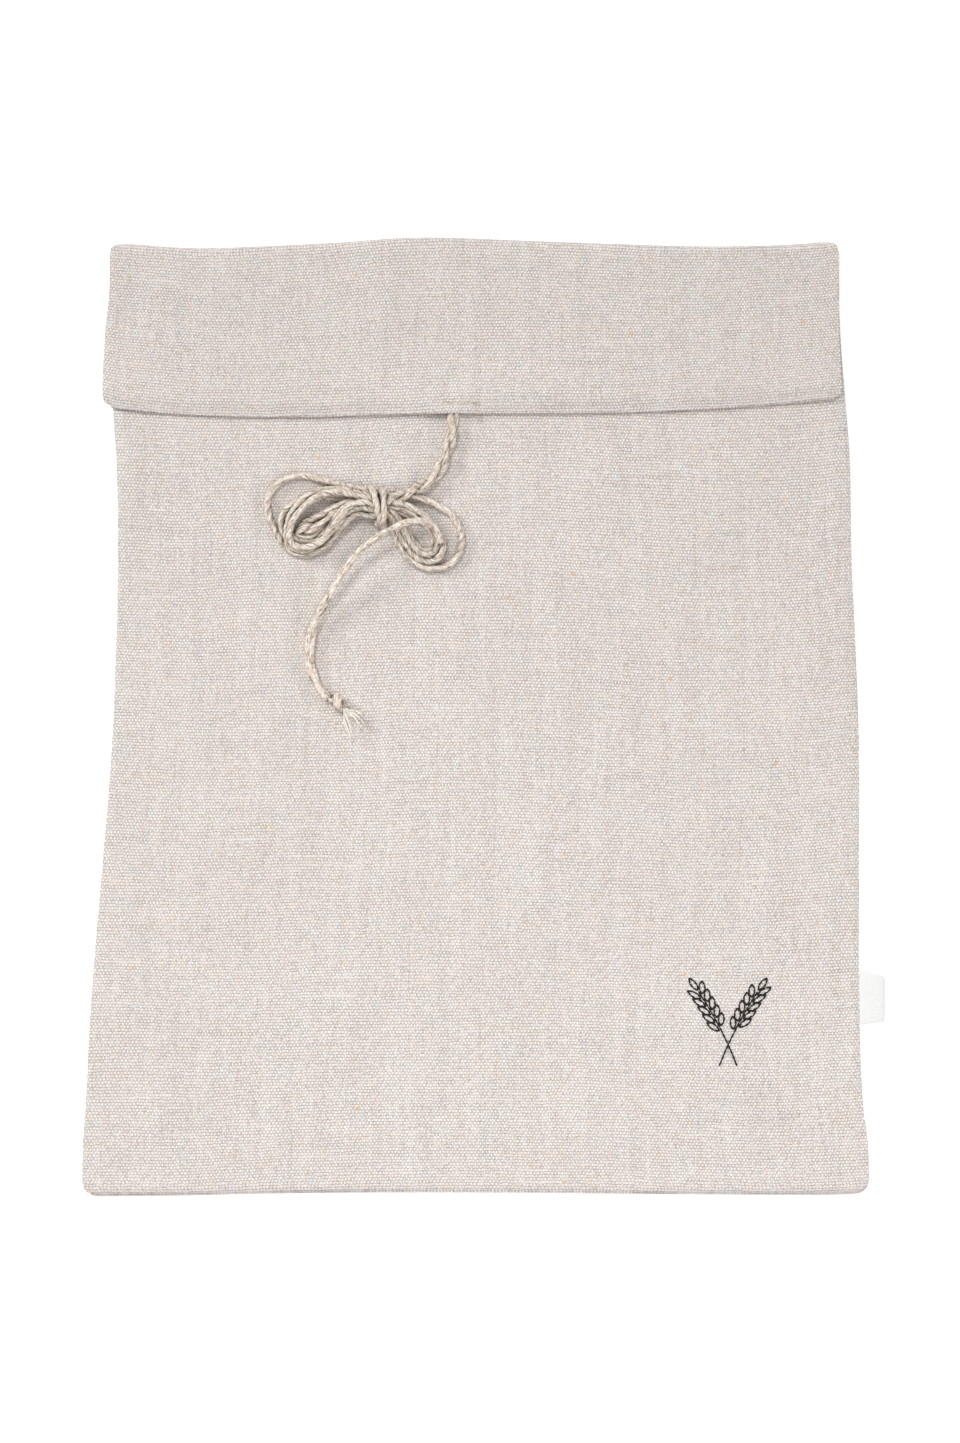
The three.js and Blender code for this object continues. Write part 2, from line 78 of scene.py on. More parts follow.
# swells of the front: x, y, half length, half width, turn, rise
swellRows = [
    (10, -60, 105, 75, 84, 1.5), (-78, 36, 62, 20, 62, 0.7), (72, 52, 70, 24, 108, 0.8),
    (-96, -118, 60, 22, 128, 0.8), (84, -128, 52, 22, 40, 0.7), (20, 86, 80, 16, 4, 0.5),
]
swellFade = {"margin": 24.0, "top": 108.0}
# heights of the two sheets' middles over the surface, and how thick the linen is
layerSet = {"thick": 0.6, "back": 0.3, "front": 2.0}


def smoothStep(value, low, high):
    t = np.clip((np.asarray(value, float) - low) / (high - low), 0, 1)
    return t * t * (3 - 2 * t)


def through(rows, column=1):  # smooth curve through a table's rows
    table = np.array([(row[0], row[column]) for row in rows], float)
    x, y = table[:, 0], table[:, 1]
    ahead = np.r_[np.arange(1, len(x)), len(x) - 1]
    behind = np.r_[0, np.arange(0, len(x) - 1)]
    slope = (y[ahead] - y[behind]) / (x[ahead] - x[behind])

    def value(at):
        at = np.clip(np.asarray(at, float), x[0], x[-1])
        i = np.clip(np.searchsorted(x, at, side="right") - 1, 0, len(x) - 2)
        span = x[i + 1] - x[i]
        t = (at - x[i]) / span
        s = 1 - t
        ends = y[i] * (1 + 2 * t) * s * s + y[i + 1] * (3 - 2 * t) * t * t
        return ends + span * t * s * (slope[i] * s - slope[i + 1] * t)

    return value


leftSide, rightSide = through(sideRows, 1), through(sideRows, 2)
flapLeft, flapRight = through(flapRows, 1), through(flapRows, 2)
bottomLine, foldLine, mouthLine = through(bottomRows), through(foldRows), through(mouthRows)


def ridges(rows, x, y, power, bend):  # the rises of a table's rows at x, y; bend curves each along its length
    total = 0.0
    for px, py, long, wide, turn, rise in rows:
        c, s = math.cos(math.radians(turn)), math.sin(math.radians(turn))
        along, across = (x - px) * c + (y - py) * s, (y - py) * c - (x - px) * s
        total = total + rise * np.exp(-(along / long) ** power - ((across - bend * along ** 2) / wide) ** 2)
    return total


def swell(x, y):
    margin = swellFade["margin"]
    sides = smoothStep(np.minimum(x - leftSide(y), rightSide(y) - x), 0, margin)
    ends = smoothStep(y - bottomLine(x), 0, margin) * smoothStep(swellFade["top"] - y, 0, margin)
    return ridges(swellRows, x, y, 2, 0) * sides * ends


def frontTop(x, y):  # top face of the front without its creases
    return layerSet["front"] + layerSet["thick"] / 2 + swell(np.asarray(x, float), np.asarray(y, float))


# shader maths: a wire is a node's socket that takes part in Python sums
class Wire:
    def __init__(self, tree, socket=None):
        self.tree, self.socket = tree, socket

    def node(self, kind, settings=None, sockets=None, out=0):  # settings first, then the sockets
        made = self.tree.nodes.new(kind)
        for name, value in (settings or {}).items():
            setattr(made, name, value)
        for name, value in (sockets or {}).items():
            if isinstance(value, Wire):
                self.tree.links.new(value.socket, made.inputs[name])
            else:
                made.inputs[name].default_value = value
        return Wire(self.tree, made.outputs[out] if made.outputs else None)

    def pick(self, name):  # another output of the same node
        return Wire(self.tree, self.socket.node.outputs[name])

    def maths(self, operation, *values):
        return self.node("ShaderNodeMath", {"operation": operation}, dict(enumerate(values)))

    def mix(self, factor, first, second):  # two colours
        settings = {"data_type": "RGBA", "clamp_factor": True}
        return self.node("ShaderNodeMix", settings, {0: factor, 6: first, 7: second}, 2)

    def vector(self, x=0.0, y=0.0, z=0.0):
        return self.node("ShaderNodeCombineXYZ", None, {0: x, 1: y, 2: z})

    def split(self, vector):  # its first part; pick gives the others
        return self.node("ShaderNodeSeparateXYZ", None, {0: vector})

    def ownMap(self, name):
        return self.node("ShaderNodeUVMap", {"uv_map": name})

    def noise(self, vector, scale=1.0, detail=2.0, out=0):
        sockets = {"Vector": vector, "Scale": scale, "Detail": detail}
        return self.node("ShaderNodeTexNoise", {"noise_dimensions": "2D"}, sockets, out)

    def lot(self, x, y):  # a number at random for each pair of threads
        return self.node("ShaderNodeTexWhiteNoise", {"noise_dimensions": "2D"}, {"Vector": self.vector(x, y)})

    def bump(self, strength, distance, height):
        return self.node("ShaderNodeBump", None, {"Strength": strength, "Distance": distance, "Height": height})

    def clamp(self):
        return self.node("ShaderNodeClamp", None, {0: self})

    def sine(self):
        return self.maths("SINE", self)

    def floor(self):
        return self.maths("FLOOR", self)

    def over(self, limit):  # 1 where the value is over the limit
        return self.maths("GREATER_THAN", self, limit)

    def __abs__(self):
        return self.maths("ABSOLUTE", self)

    def __add__(self, other):
        return self.maths("ADD", self, other)

    def __sub__(self, other):
        return self.maths("SUBTRACT", self, other)

    def __rsub__(self, other):
        return self.maths("SUBTRACT", other, self)

    def __mul__(self, other):
        return self.maths("MULTIPLY", self, other)

    def __truediv__(self, other):
        return self.maths("DIVIDE", self, other)

    def __pow__(self, other):
        return self.maths("POWER", self, other)

    __radd__, __rmul__ = __add__, __mul__


def linear(red, green, blue):  # colour as seen, 0 to 255, to the shader's scale
    parts = [channel / 255 for channel in (red, green, blue)]
    return tuple(p / 12.92 if p <= 0.04045 else ((p + 0.055) / 1.055) ** 2.4 for p in parts) + (1.0,)


def startMaterial(name):
    material = bpy.data.materials.new(name)
    material.use_nodes = True
    material.node_tree.nodes.clear()
    return material, Wire(material.node_tree)


def endMaterial(kit, sockets):
    surface = kit.node("ShaderNodeBsdfPrincipled", None, sockets)
    kit.node("ShaderNodeOutputMaterial", None, {"Surface": surface})


# plain-woven linen: the cloth's own map is in metres, across the warp and along it
linenLook = {
    "warp": 0.66 * mm, "weft": 1.15 * mm, "wander": 1.0 * mm, "bow": 4.0 * mm, "quiver": 0.34 * mm,
    "light": linear(255, 250, 247), "middle": linear(214, 205, 199), "deep": linear(104, 92, 85),
    "warm": linear(226, 205, 186), "cool": linear(207, 208, 213),
    "fleck": linear(226, 168, 92), "slub": linear(140, 126, 112),
}


def linenMaterial(look):
    material, kit = startMaterial("linen")
    cloth = kit.ownMap("cloth")
    place = kit.split(cloth)
    height = place.pick("Y")
    strays = ((34.0, 2.0), (8.0, 1.0), (420.0, 1.0))  # scale and detail of what leads a thread off its line
    shift, drift, shake = (kit.split(kit.noise(cloth, scale, detail, 1)) for scale, detail in strays)
    across = place + (shift - 0.5) * look["wander"] + (drift - 0.5) * (look["bow"] * 0.5)
    across = across + (shake - 0.5) * look["quiver"]
    along = height + (shift.pick("Y") - 0.5) * look["wander"] + (drift.pick("Y") - 0.5) * look["bow"]
    along = along + (shake.pick("Y") - 0.5) * (look["quiver"] * 1.6)
    across, along = across / look["warp"], along / look["weft"]
    warpThread, weftThread = across.floor(), along.floor()
    warpBody, weftBody = (across * math.pi).sine(), (along * math.pi).sine()
    weave = warpBody * weftBody  # above 0 the warp is on top, below 0 the weft
    warpUp = weave.over(0.0)
    warpFloat, weftFloat = kit.maths("MAXIMUM", weave, 0.0), kit.maths("MAXIMUM", weave * -1.0, 0.0)
    furrowShade = (1 - abs(weftBody)) ** 2.5  # painted shade between one weft thread and the next
    pinholeShade = ((1 - abs(warpBody)) * (1 - abs(weftBody))) ** 1.3

    # thick and thin places along each thread, long thick threads, and floats that differ from their neighbours
    warpSlub = kit.noise(kit.vector(warpThread * 5.37, height * 300.0))
    weftSlub = kit.noise(kit.vector(weftThread * 7.13, place * 300.0))
    slub = warpSlub * warpUp + weftSlub * (1 - warpUp)
    longWarp = kit.noise(kit.vector(warpThread * 4.19 + 60.0, height * 26.0), 1.0, 1.0)
    longWeft = kit.noise(kit.vector(weftThread * 3.71 + 20.0, place * 26.0), 1.0, 1.0)
    longSlub = longWarp * warpUp + longWeft * (1 - warpUp)
    thick = ((longSlub - 0.69) * 8.0).clamp() - ((0.31 - longSlub) * 8.0).clamp()
    lot = kit.lot(warpThread, weftThread)
    holes = kit.lot(warpThread + 41.0, weftThread + 17.0)
    bands = kit.noise(kit.vector(place * 190.0, height * 12.0), 1.0, 3.0)
    rows = kit.noise(kit.vector(place * 14.0, height * 230.0), 1.0, 3.0)
    clouds = kit.noise(cloth, 22.0, 4.0)
    grit = kit.noise(cloth, 1600.0, 1.0)
    threads = (slub - 0.5) * 0.20 + (lot - 0.5) * 0.18 + (grit - 0.5) * 0.74 + thick * 0.17
    uneven = threads + (bands - 0.5) * 0.14 + (rows - 0.5) * 0.06 + (clouds - 0.5) * 0.05

    # painted light and shade of the weave: raised warp floats lighter; the lower weft floats, the furrows and the
    # pinholes darker; mixed with the threads' own uneven tone
    raisedLightAndTone = (warpFloat ** 0.7 * 0.76 + 0.06 + uneven * 0.9).clamp()
    dark = (weftFloat * 0.16 + furrowShade * 0.42 + pinholeShade * (0.3 + holes ** 4.0 * 1.4) - uneven * 0.85).clamp()
    tint = kit.noise(cloth, 480.0) * 0.6 + kit.noise(cloth, 120.0) * 0.4
    colour = kit.mix(((tint - 0.55) * 3.6).clamp(), look["middle"], look["warm"])
    colour = kit.mix(((0.45 - tint) * 3.0).clamp(), colour, look["cool"])
    colour = kit.mix(raisedLightAndTone, colour, look["light"])
    colour = kit.mix(dark, colour, look["deep"])

    # a few coloured flecks and dark slubs, each caught in one weft thread
    fleckLot = kit.lot((across / 2.0).floor(), weftThread)
    slubLot = kit.lot((across / 3.0).floor(), weftThread + 311.0)
    colour = kit.mix(fleckLot.over(0.99984) * 0.6, colour, look["fleck"])
    colour = kit.mix(slubLot.over(0.99992) * 0.6, colour, look["slub"])

    relief = abs(weave) * 0.5 + weave * 0.5 + (slub - 0.5) * 0.5 + (grit - 0.5) * 0.25
    endMaterial(kit, {
        "Base Color": colour, "Roughness": 0.93, "Specular IOR Level": 0.2,
        "Sheen Weight": 0.08, "Sheen Roughness": 0.5, "Normal": kit.bump(0.6, 0.18 * mm, relief),
    })
    return material


# two-ply linen twine: its own map runs along the ply in metres and once round it
twineLook = {
    # pale is the colour of pale fibres and of painted highlights
    "light": linear(245, 234, 222), "deep": linear(174, 150, 131), "pale": linear(255, 252, 246),
    "groove": linear(60, 45, 35), "rosy": linear(214, 184, 164), "green": linear(210, 201, 177),
    # seam is how strongly painted shade darkens the plies where they meet; groove is the colour of dark fibre lines and
    # of painted shade
    "tone": 0.74, "seam": 0.3, "bump": 0.6,
}
fibreLook = {
    "light": linear(255, 250, 240), "deep": linear(160, 140, 118), "pale": linear(255, 254, 250),
    "groove": linear(112, 95, 78), "rosy": linear(240, 222, 206), "green": linear(240, 231, 214),
    "tone": 1.04, "seam": 0.0, "bump": 0.05,
}


def twineMaterial(name, look):
    material, kit = startMaterial(name)
    place = kit.split(kit.ownMap("strand"))
    around = place.pick("Y")
    turned = around + place * 22.0  # the fibres run round the ply slowly

    def fibred(along, across, detail=2.0):
        return kit.noise(kit.vector(place * along, turned * across), 1.0, detail)

    streaks, fibres, hairs = fibred(150.0, 6.0), fibred(420.0, 9.0, 3.0), fibred(620.0, 16.0, 1.0)
    patches, tints = fibred(60.0, 0.3), fibred(150.0, 3.0)
    tone = look["tone"] + (streaks - 0.5) * 1.25 + (fibres - 0.5) * 1.45 + (hairs - 0.5) * 1.1 + (patches - 0.5) * 0.6
    dark = 0.84 - streaks * 0.5 - fibres * 0.5 - hairs * 0.8
    colour = kit.mix(tone.clamp(), look["deep"], look["light"])
    colour = kit.mix(((tints - 0.54) * 7.0).clamp() * 0.6, colour, look["rosy"])
    colour = kit.mix(((0.46 - tints) * 7.0).clamp() * 0.45, colour, look["green"])
    # pale fibres, partly painted highlights where fibres and hairs run high
    colour = kit.mix(((fibres + hairs - 1.10) * 5.0).clamp() * 0.85, colour, look["pale"])
    colour = kit.mix((dark * 5.0).clamp() * 0.55, colour, look["groove"])
    plyCreviceShade = 0.5 - ((around + 0.25) * (2 * math.pi)).sine() * 0.5  # painted shade, 1 on the side turned to the other ply
    colour = kit.mix(plyCreviceShade ** 6.0 * look["seam"], colour, look["groove"])
    paintedGapShade = kit.node("ShaderNodeAttribute", {"attribute_name": "shade"}, None, "Fac")  # painted shade, darker where other strands lie close in front
    colour = kit.mix(paintedGapShade * 0.95, colour, look["groove"])
    endMaterial(kit, {
        "Base Color": colour, "Roughness": 0.88, "Specular IOR Level": 0.25, "Sheen Weight": 0.1,
        "Sheen Roughness": 0.45, "Normal": kit.bump(look["bump"], 0.16 * mm, fibres + hairs + streaks),
    })
    return material


# white woven tape: fine ribs across, a closer edge
tapeLook = {"light": linear(241, 241, 240), "deep": linear(213, 213, 212), "rib": 0.34 * mm, "end": 0.42 * mm}


def tapeMaterial(look):
    material, kit = startMaterial("tape")
    cloth = kit.ownMap("cloth")
    place = kit.split(cloth)
    ribs = (place * (math.pi / look["rib"])).sine() * (place.pick("Y") * (math.pi / look["end"])).sine()
    grain = kit.noise(cloth, 900.0)
    colour = kit.mix((0.68 + ribs * 0.22 + (grain - 0.5) * 0.5).clamp(), look["deep"], look["light"])
    endMaterial(kit, {
        "Base Color": colour, "Roughness": 0.62, "Specular IOR Level": 0.35, "Sheen Weight": 0.1,
        "Normal": kit.bump(0.4, 0.08 * mm, ribs + grain * 0.5),
    })
    return material


# sewing and embroidery thread: a smooth twisted thread
darkLook = {"light": linear(40, 32, 31), "deep": linear(9, 6, 6), "rough": 0.6}
tackLook = {"light": linear(226, 219, 196), "deep": linear(190, 180, 150), "rough": 0.75}


def threadMaterial(name, look):
    material, kit = startMaterial(name)
    place = kit.split(kit.ownMap("strand"))
    around = place.pick("Y")
    lay = (place * 5200.0 + around * (2 * math.pi)).sine()
    streak = kit.noise(kit.vector(place * 900.0, around * 6.0))
    colour = kit.mix((0.4 + lay * 0.25 + (streak - 0.5) * 0.8).clamp(), look["deep"], look["light"])
    endMaterial(kit, {
        "Base Color": colour, "Roughness": look["rough"], "Specular IOR Level": 0.4,
        "Normal": kit.bump(0.5, 0.05 * mm, lay),
    })
    return material


linen = linenMaterial(linenLook)
twine = twineMaterial("twine", twineLook)
looseFibre = twineMaterial("looseFibre", fibreLook)
tape = tapeMaterial(tapeLook)
darkThread = threadMaterial("darkThread", darkLook)
tackThread = threadMaterial("tackThread", tackLook)
print("materials made")


def makePiece(name, points, faces, maps, material, mapName, shade=None):
    mesh = bpy.data.meshes.new(name)
    mesh.from_pydata([tuple(p) for p in np.asarray(points) * mm], [], faces)
    corners = []
    for face in faces:  # where a tube's map closes on itself, the last strip runs on past 1
        row = [maps[i] for i in face]
        high = max(v for u, v in row)
        if mapName == "strand" and len(face) == 4 and high - min(v for u, v in row) > 0.5:
            row = [(u, v + 1 if v < high - 0.5 else v) for u, v in row]
        corners.extend(row)
    mesh.uv_layers.new(name=mapName).data.foreach_set("uv", np.asarray(corners, float).ravel())
    if shade is not None:
        # painted shade between strands, read by the twine's material
        mesh.attributes.new("shade", "FLOAT", "POINT").data.foreach_set("value", shade)
    mesh.materials.append(material)
    mesh.polygons.foreach_set("use_smooth", [True] * len(mesh.polygons))
    mesh.update()
    piece = bpy.data.objects.new(name, mesh)
    bpy.context.collection.objects.link(piece)
    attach(piece, "root")
    return piece


def makeThread(name, sink, material, shade=None):  # a piece of tubes, with their own map
    return makePiece(name, sink["points"], sink["faces"], sink["maps"], material, "strand", shade)


# twine: radius of a strand, usual length of one full twist, how far a ply lies out, its half sizes,
# how rough it is, and the ridges round it: how many, how high, how they turn
twineSet = {
    "radius": 1.2, "lay": 12.0, "plyOut": 0.48, "plyHalf": (0.82, 1.0), "rough": 0.07,
    "ridges": [(3, 0.09, 0.9), (5, 0.08, -0.6), (7, 0.05, 1.4)], "round": 16, "step": 0.62, "clear": 0.3,
}
wrapSet = {
    "x": -40.0, "y": 79.9, "axis": -10.0, "turns": 2.6, "pitch": 2.7, "across": 6.9, "up": 3.5, "lean": 1.6, "fan": 0.6,
}
loopSway = 0.25
# loops of the bow, strand by strand from the wrapping and back to it: x, y, height over the cloth
bowLoops = [
    [
        (-40.5, 83.6, 3.4), (-45.5, 85.4, 3.2), (-51.0, 86.6, 2.4), (-57.0, 88.6, 1.4), (-63.0, 91.0, 0.7),
        (-69.0, 92.9, 0.4), (-75.5, 92.0, 0.3), (-80.4, 88.8, 0.3), (-83.4, 84.4, 0.4), (-83.8, 79.4, 0.5),
        (-82.0, 73.8, 0.6), (-79.2, 68.8, 0.6), (-76.6, 64.6, 0.5), (-72.4, 62.2, 0.5), (-67.0, 62.2, 0.6),
        (-62.4, 64.6, 0.9), (-59.2, 68.6, 1.4), (-56.4, 73.0, 2.0), (-53.2, 76.8, 2.6), (-48.6, 78.9, 3.0),
        (-44.0, 77.6, 3.0), (-40.5, 77.4, 2.8),
    ],
    [
        (-40.5, 82.4, 3.0), (-46.0, 84.6, 3.0), (-52.0, 86.0, 2.6), (-58.5, 86.9, 2.0), (-65.0, 85.8, 1.6),
        (-70.4, 83.0, 1.4), (-74.2, 79.0, 1.6), (-76.0, 74.2, 1.9), (-76.9, 69.4, 1.8), (-76.6, 65.2, 1.4),
        (-73.4, 62.9, 1.3), (-68.4, 63.0, 1.4), (-63.6, 65.2, 1.9), (-60.4, 69.2, 2.2), (-57.6, 73.8, 2.8),
        (-54.6, 77.6, 3.2), (-50.0, 80.0, 3.4), (-45.0, 79.6, 3.4), (-40.5, 78.8, 3.2),
    ],
    [
        (-40.5, 81.4, 4.2), (-45.5, 83.2, 4.4), (-51.5, 85.0, 4.2), (-57.5, 86.0, 4.0), (-63.4, 85.0, 3.8),
        (-68.2, 81.8, 3.8), (-71.8, 77.8, 4.0), (-74.4, 73.0, 4.0), (-75.6, 68.2, 3.6), (-74.6, 64.6, 3.2),
        (-71.0, 63.6, 3.0), (-66.4, 64.2, 3.2), (-62.2, 66.4, 3.6), (-59.0, 70.8, 4.1), (-56.2, 75.8, 4.6),
        (-52.2, 80.0, 5.0), (-46.6, 82.2, 5.0), (-40.5, 81.0, 4.4),
    ],
    [
        (-40.5, 80.4, 2.4), (-46.5, 82.2, 2.0), (-53.0, 83.8, 1.2), (-60.0, 84.4, 0.6), (-67.0, 83.6, 0.3),
        (-73.4, 81.2, 0.1), (-77.8, 77.6, 0.1), (-79.2, 73.8, 0.1), (-77.8, 69.6, 0.1), (-75.4, 66.2, 0.2),
        (-71.6, 64.4, 0.3), (-67.2, 64.4, 0.5), (-62.8, 66.0, 0.8), (-59.6, 70.0, 1.2), (-56.6, 75.2, 1.7),
        (-52.0, 79.6, 2.2), (-46.0, 80.6, 2.4), (-40.5, 79.6, 2.6),
    ],
    [
        (-40.5, 82.6, 2.2), (-46.6, 84.0, 2.0), (-53.0, 84.8, 1.8), (-59.0, 85.0, 1.5), (-64.6, 83.8, 1.2),
        (-69.2, 80.8, 1.0), (-72.8, 76.8, 1.0), (-74.8, 72.4, 0.9), (-75.0, 68.8, 0.6), (-72.6, 66.6, 0.4),
        (-68.6, 65.8, 0.3), (-64.6, 66.0, 0.4), (-61.2, 68.6, 0.8), (-58.6, 72.6, 1.6), (-55.6, 77.2, 2.4),
        (-51.0, 80.2, 3.0), (-45.6, 80.8, 3.2), (-40.5, 80.2, 3.0),
    ],
    [
        (-42.0, 81.6, 3.0), (-48.0, 81.8, 2.8), (-53.6, 80.2, 2.4), (-59.4, 78.0, 2.0), (-65.0, 75.9, 1.5),
        (-69.4, 74.2, 0.9), (-71.8, 72.4, 0.5), (-70.4, 70.6, 0.5), (-66.6, 71.0, 0.8), (-63.0, 73.0, 1.2),
        (-59.0, 75.8, 1.8), (-54.6, 78.6, 2.4), (-48.0, 80.2, 2.8), (-42.0, 80.2, 3.0),
    ],
    [
        (-42.0, 80.6, 2.2), (-48.4, 80.8, 2.2), (-54.0, 79.2, 1.8), (-58.6, 76.2, 1.4), (-63.2, 72.4, 0.6),
        (-67.8, 71.0, 0.3), (-71.8, 70.9, 0.2), (-73.6, 69.8, 0.2), (-71.8, 68.7, 0.4), (-67.6, 69.3, 0.8),
        (-63.4, 71.0, 1.2), (-59.6, 74.2, 1.6), (-55.4, 78.2, 2.0), (-49.0, 80.2, 2.3), (-42.0, 79.6, 2.4),
    ],
    [
        (-40.0, 83.0, 3.4), (-36.0, 84.4, 3.4), (-30.6, 84.6, 2.8), (-25.0, 83.8, 2.0), (-19.8, 82.0, 1.2),
        (-15.2, 79.2, 0.7), (-11.6, 75.6, 0.4), (-9.2, 71.6, 0.3), (-8.4, 67.2, 0.2), (-9.2, 62.8, 0.2),
        (-11.6, 58.9, 0.3), (-15.4, 56.4, 0.5), (-20.0, 56.0, 0.6), (-25.0, 57.2, 0.7), (-29.6, 60.4, 0.8),
        (-32.8, 64.8, 1.0), (-34.6, 69.4, 1.4), (-35.8, 73.8, 2.0), (-37.4, 77.2, 2.6), (-40.5, 78.6, 3.0),
    ],
    [
        (-40.0, 81.6, 4.2), (-35.6, 82.6, 4.2), (-31.0, 81.4, 3.6), (-26.6, 78.8, 3.2), (-22.2, 75.8, 3.0),
        (-18.6, 72.0, 2.8), (-16.4, 67.8, 2.4), (-15.6, 63.4, 1.8), (-16.8, 59.8, 1.2), (-20.2, 58.2, 1.0),
        (-24.6, 59.2, 1.2), (-28.0, 62.4, 1.6), (-31.2, 66.6, 2.0), (-33.0, 70.8, 2.4), (-34.8, 75.0, 3.0),
        (-37.6, 78.6, 3.4), (-40.5, 79.6, 3.6),
    ],
    [
        (-40.0, 80.6, 3.2), (-35.4, 80.6, 3.0), (-30.6, 78.8, 2.4), (-26.0, 76.0, 1.8), (-21.8, 72.8, 1.4),
        (-18.8, 69.0, 1.2), (-17.8, 65.0, 1.0), (-19.2, 61.8, 1.0), (-22.6, 60.8, 1.2), (-26.2, 62.4, 1.8),
        (-28.8, 66.2, 2.4), (-30.6, 70.4, 2.8), (-32.6, 74.6, 3.0), (-36.4, 78.0, 3.2), (-40.5, 79.4, 3.2),
    ],
    [
        (-40.0, 79.4, 2.4), (-35.4, 78.8, 2.2), (-30.6, 77.6, 1.4), (-25.8, 75.8, 0.8), (-21.8, 73.0, 0.4),
        (-19.2, 69.6, 0.2), (-18.8, 65.8, 0.2), (-20.8, 62.6, 0.3), (-24.4, 62.4, 0.5), (-27.4, 65.4, 0.9),
        (-29.4, 69.6, 1.4), (-31.4, 73.8, 1.9), (-35.4, 77.6, 2.4), (-40.0, 79.0, 2.6),
    ],
]
# the lead from under the flap to the bow, and the tail from the bow to the knot: x, y, height over the cloth
leadRows = [
    (-12.1, 118.3, 0.0), (-12.3, 110.7, 0.0), (-13.1, 106.5, 0.0), (-15.6, 98.0, 0.0),
    (-19.1, 91.4, 0.2), (-25.0, 87.4, 0.8), (-32.7, 84.0, 2.2), (-38.5, 81.4, 3.2),
]
leadSet = {"turns": 2.25, "flat": 0.05, "inBow": 0.7, "apart": 1.0}
tailRows = [
    (-17.0, 66.0, 4.2), (-17.8, 70.6, 5.4), (-20.8, 73.9, 7.0), (-26.0, 74.9, 8.6), (-31.6, 73.1, 9.2),
    (-39.3, 69.3, 9.0), (-48.9, 61.9, 7.6), (-57.4, 49.9, 5.0), (-65.5, 35.4, 1.3), (-67.8, 22.7, 0.4),
    (-66.4, 16.4, 0.4), (-63.6, 9.9, 0.4), (-60.1, 6.4, 0.8),
]
tailSet = {"inBow": 0.25, "lay": 38.0, "slack": 0.42, "slackens": (0.42, 0.8)}
knotSet = {
    "x": -56.4, "y": 5.0, "axis": -30.0, "turns": 2.2, "pitch": 1.4, "across": 2.2, "up": 1.7, "lean": 0.9, "fan": 0.0,
    "thick": 0.82, "clear": 1.4, "core": (-1.6, 0.4, 2.4, 3.4), "fall": 0.12,
}
# frayed ends, in locks: start, bend and tip, how many flat bundles and how many single fibres
frayRows = [
    ((-53.4, 1.7), (-49.8, 0.4), (-46.2, -3.6), 2, 5), ((-53.4, 1.3), (-50.2, -0.8), (-47.2, -6.0), 2, 5),
    ((-53.0, 2.4), (-48.8, 1.6), (-45.0, -1.8), 1, 4), ((-54.2, 1.0), (-53.8, -3.0), (-51.6, -10.0), 1, 4),
    ((-53.8, 1.2), (-52.4, -2.4), (-49.8, -7.8), 1, 4),
]
fraySet = {
    "lifts": (2.4, 3.1, 2.7), "spread": 0.35, "curl": (4, 9), "wave": 0.4, "kept": (0.78, 1.0), "clear": 0.2,
    "bundle": {"loose": 0.3, "root": (0.38, 0.52), "tip": 0.2, "sides": 8, "flat": 0.7},
    "single": {"loose": 0.8, "root": (0.12, 0.18), "tip": 0.06, "sides": 4, "flat": 1.0},
}
fuzzSet = {"perMm": 1.2, "reach": (0.6, 1.9), "root": 0.06, "tip": 0.02}


def runAlong(points):  # how far along the line each point lies
    return np.r_[0, np.cumsum(np.linalg.norm(np.diff(points, axis=0), axis=1))]


def evenRoute(points, step):  # smooth curve through the points, then evenly spaced
    p = np.asarray(points, float)
    p = np.vstack([2 * p[0] - p[1], p, 2 * p[-1] - p[-2]])
    t = np.linspace(0, 1, 24, endpoint=False)[:, None]
    dense = []
    for a, b, c, d in zip(p, p[1:], p[2:], p[3:]):
        square, cube = 2 * a - 5 * b + 4 * c - d, 3 * b - a - 3 * c + d
        dense.append(0.5 * (2 * b + (c - a) * t + square * t ** 2 + cube * t ** 3))
    dense = np.vstack([*dense, p[-2:-1]])
    far = runAlong(dense)
    at = np.linspace(0, far[-1], max(int(round(far[-1] / step)), 4) + 1)
    return np.stack([np.interp(at, far, dense[:, k]) for k in range(3)], 1)


restHeight = twineSet["radius"] + twineSet["clear"]


def clothRoute(rows):  # heights in the table are over a strand that lies on the cloth
    rows = np.array(rows)
    return np.column_stack([rows[:, :2], frontTop(rows[:, 0], rows[:, 1]) + restHeight + rows[:, 2]])


def windTurns(c, middle, count):  # turns round an axis; fan opens them on one side
    turn = np.linspace(-0.5, 0.5, count) * c["turns"]
    angle = 2 * np.pi * turn - np.pi / 2
    axis = math.radians(c["axis"])
    across = c["across"] * np.cos(angle)
    along = c["pitch"] * turn * (1 + c["fan"] * np.cos(angle)) - c["lean"] * np.cos(angle)
    x = c["x"] + along * math.cos(axis) - across * math.sin(axis)
    y = c["y"] + along * math.sin(axis) + across * math.cos(axis)
    return np.stack([x, y, middle + c["up"] * np.sin(angle)], 1)


def leadRoute(hand):
    middle = evenRoute(leadRows, 1.0)
    ahead = np.gradient(middle[:, :2], axis=0)
    ahead /= np.linalg.norm(ahead, axis=1)[:, None]
    side = np.stack([ahead[:, 1], -ahead[:, 0]], 1)
    share = np.linspace(0, 1, len(middle))
    angle = 2 * np.pi * leadSet["turns"] * np.maximum(share - leadSet["flat"], 0) / (1 - leadSet["flat"])
    spot = middle[:, :2] + side * (hand * leadSet["apart"] * np.cos(angle))[:, None]
    lift = leadSet["apart"] * (np.abs(np.sin(angle)) + hand * np.sin(angle))
    z = frontTop(spot[:, 0], spot[:, 1]) + restHeight + middle[:, 2] + lift
    return np.column_stack([spot, z])


# strands that lie on each other are pushed apart to a strand's width, over the cloth and near their routes
settleSet = {
    "rounds": 60, "touch": 2.2, "skip": 7, "push": 0.25, "step": 0.4, "smooth": 0.3,
    "most": 1.5, "home": 0.985, "clear": 0.1,
}


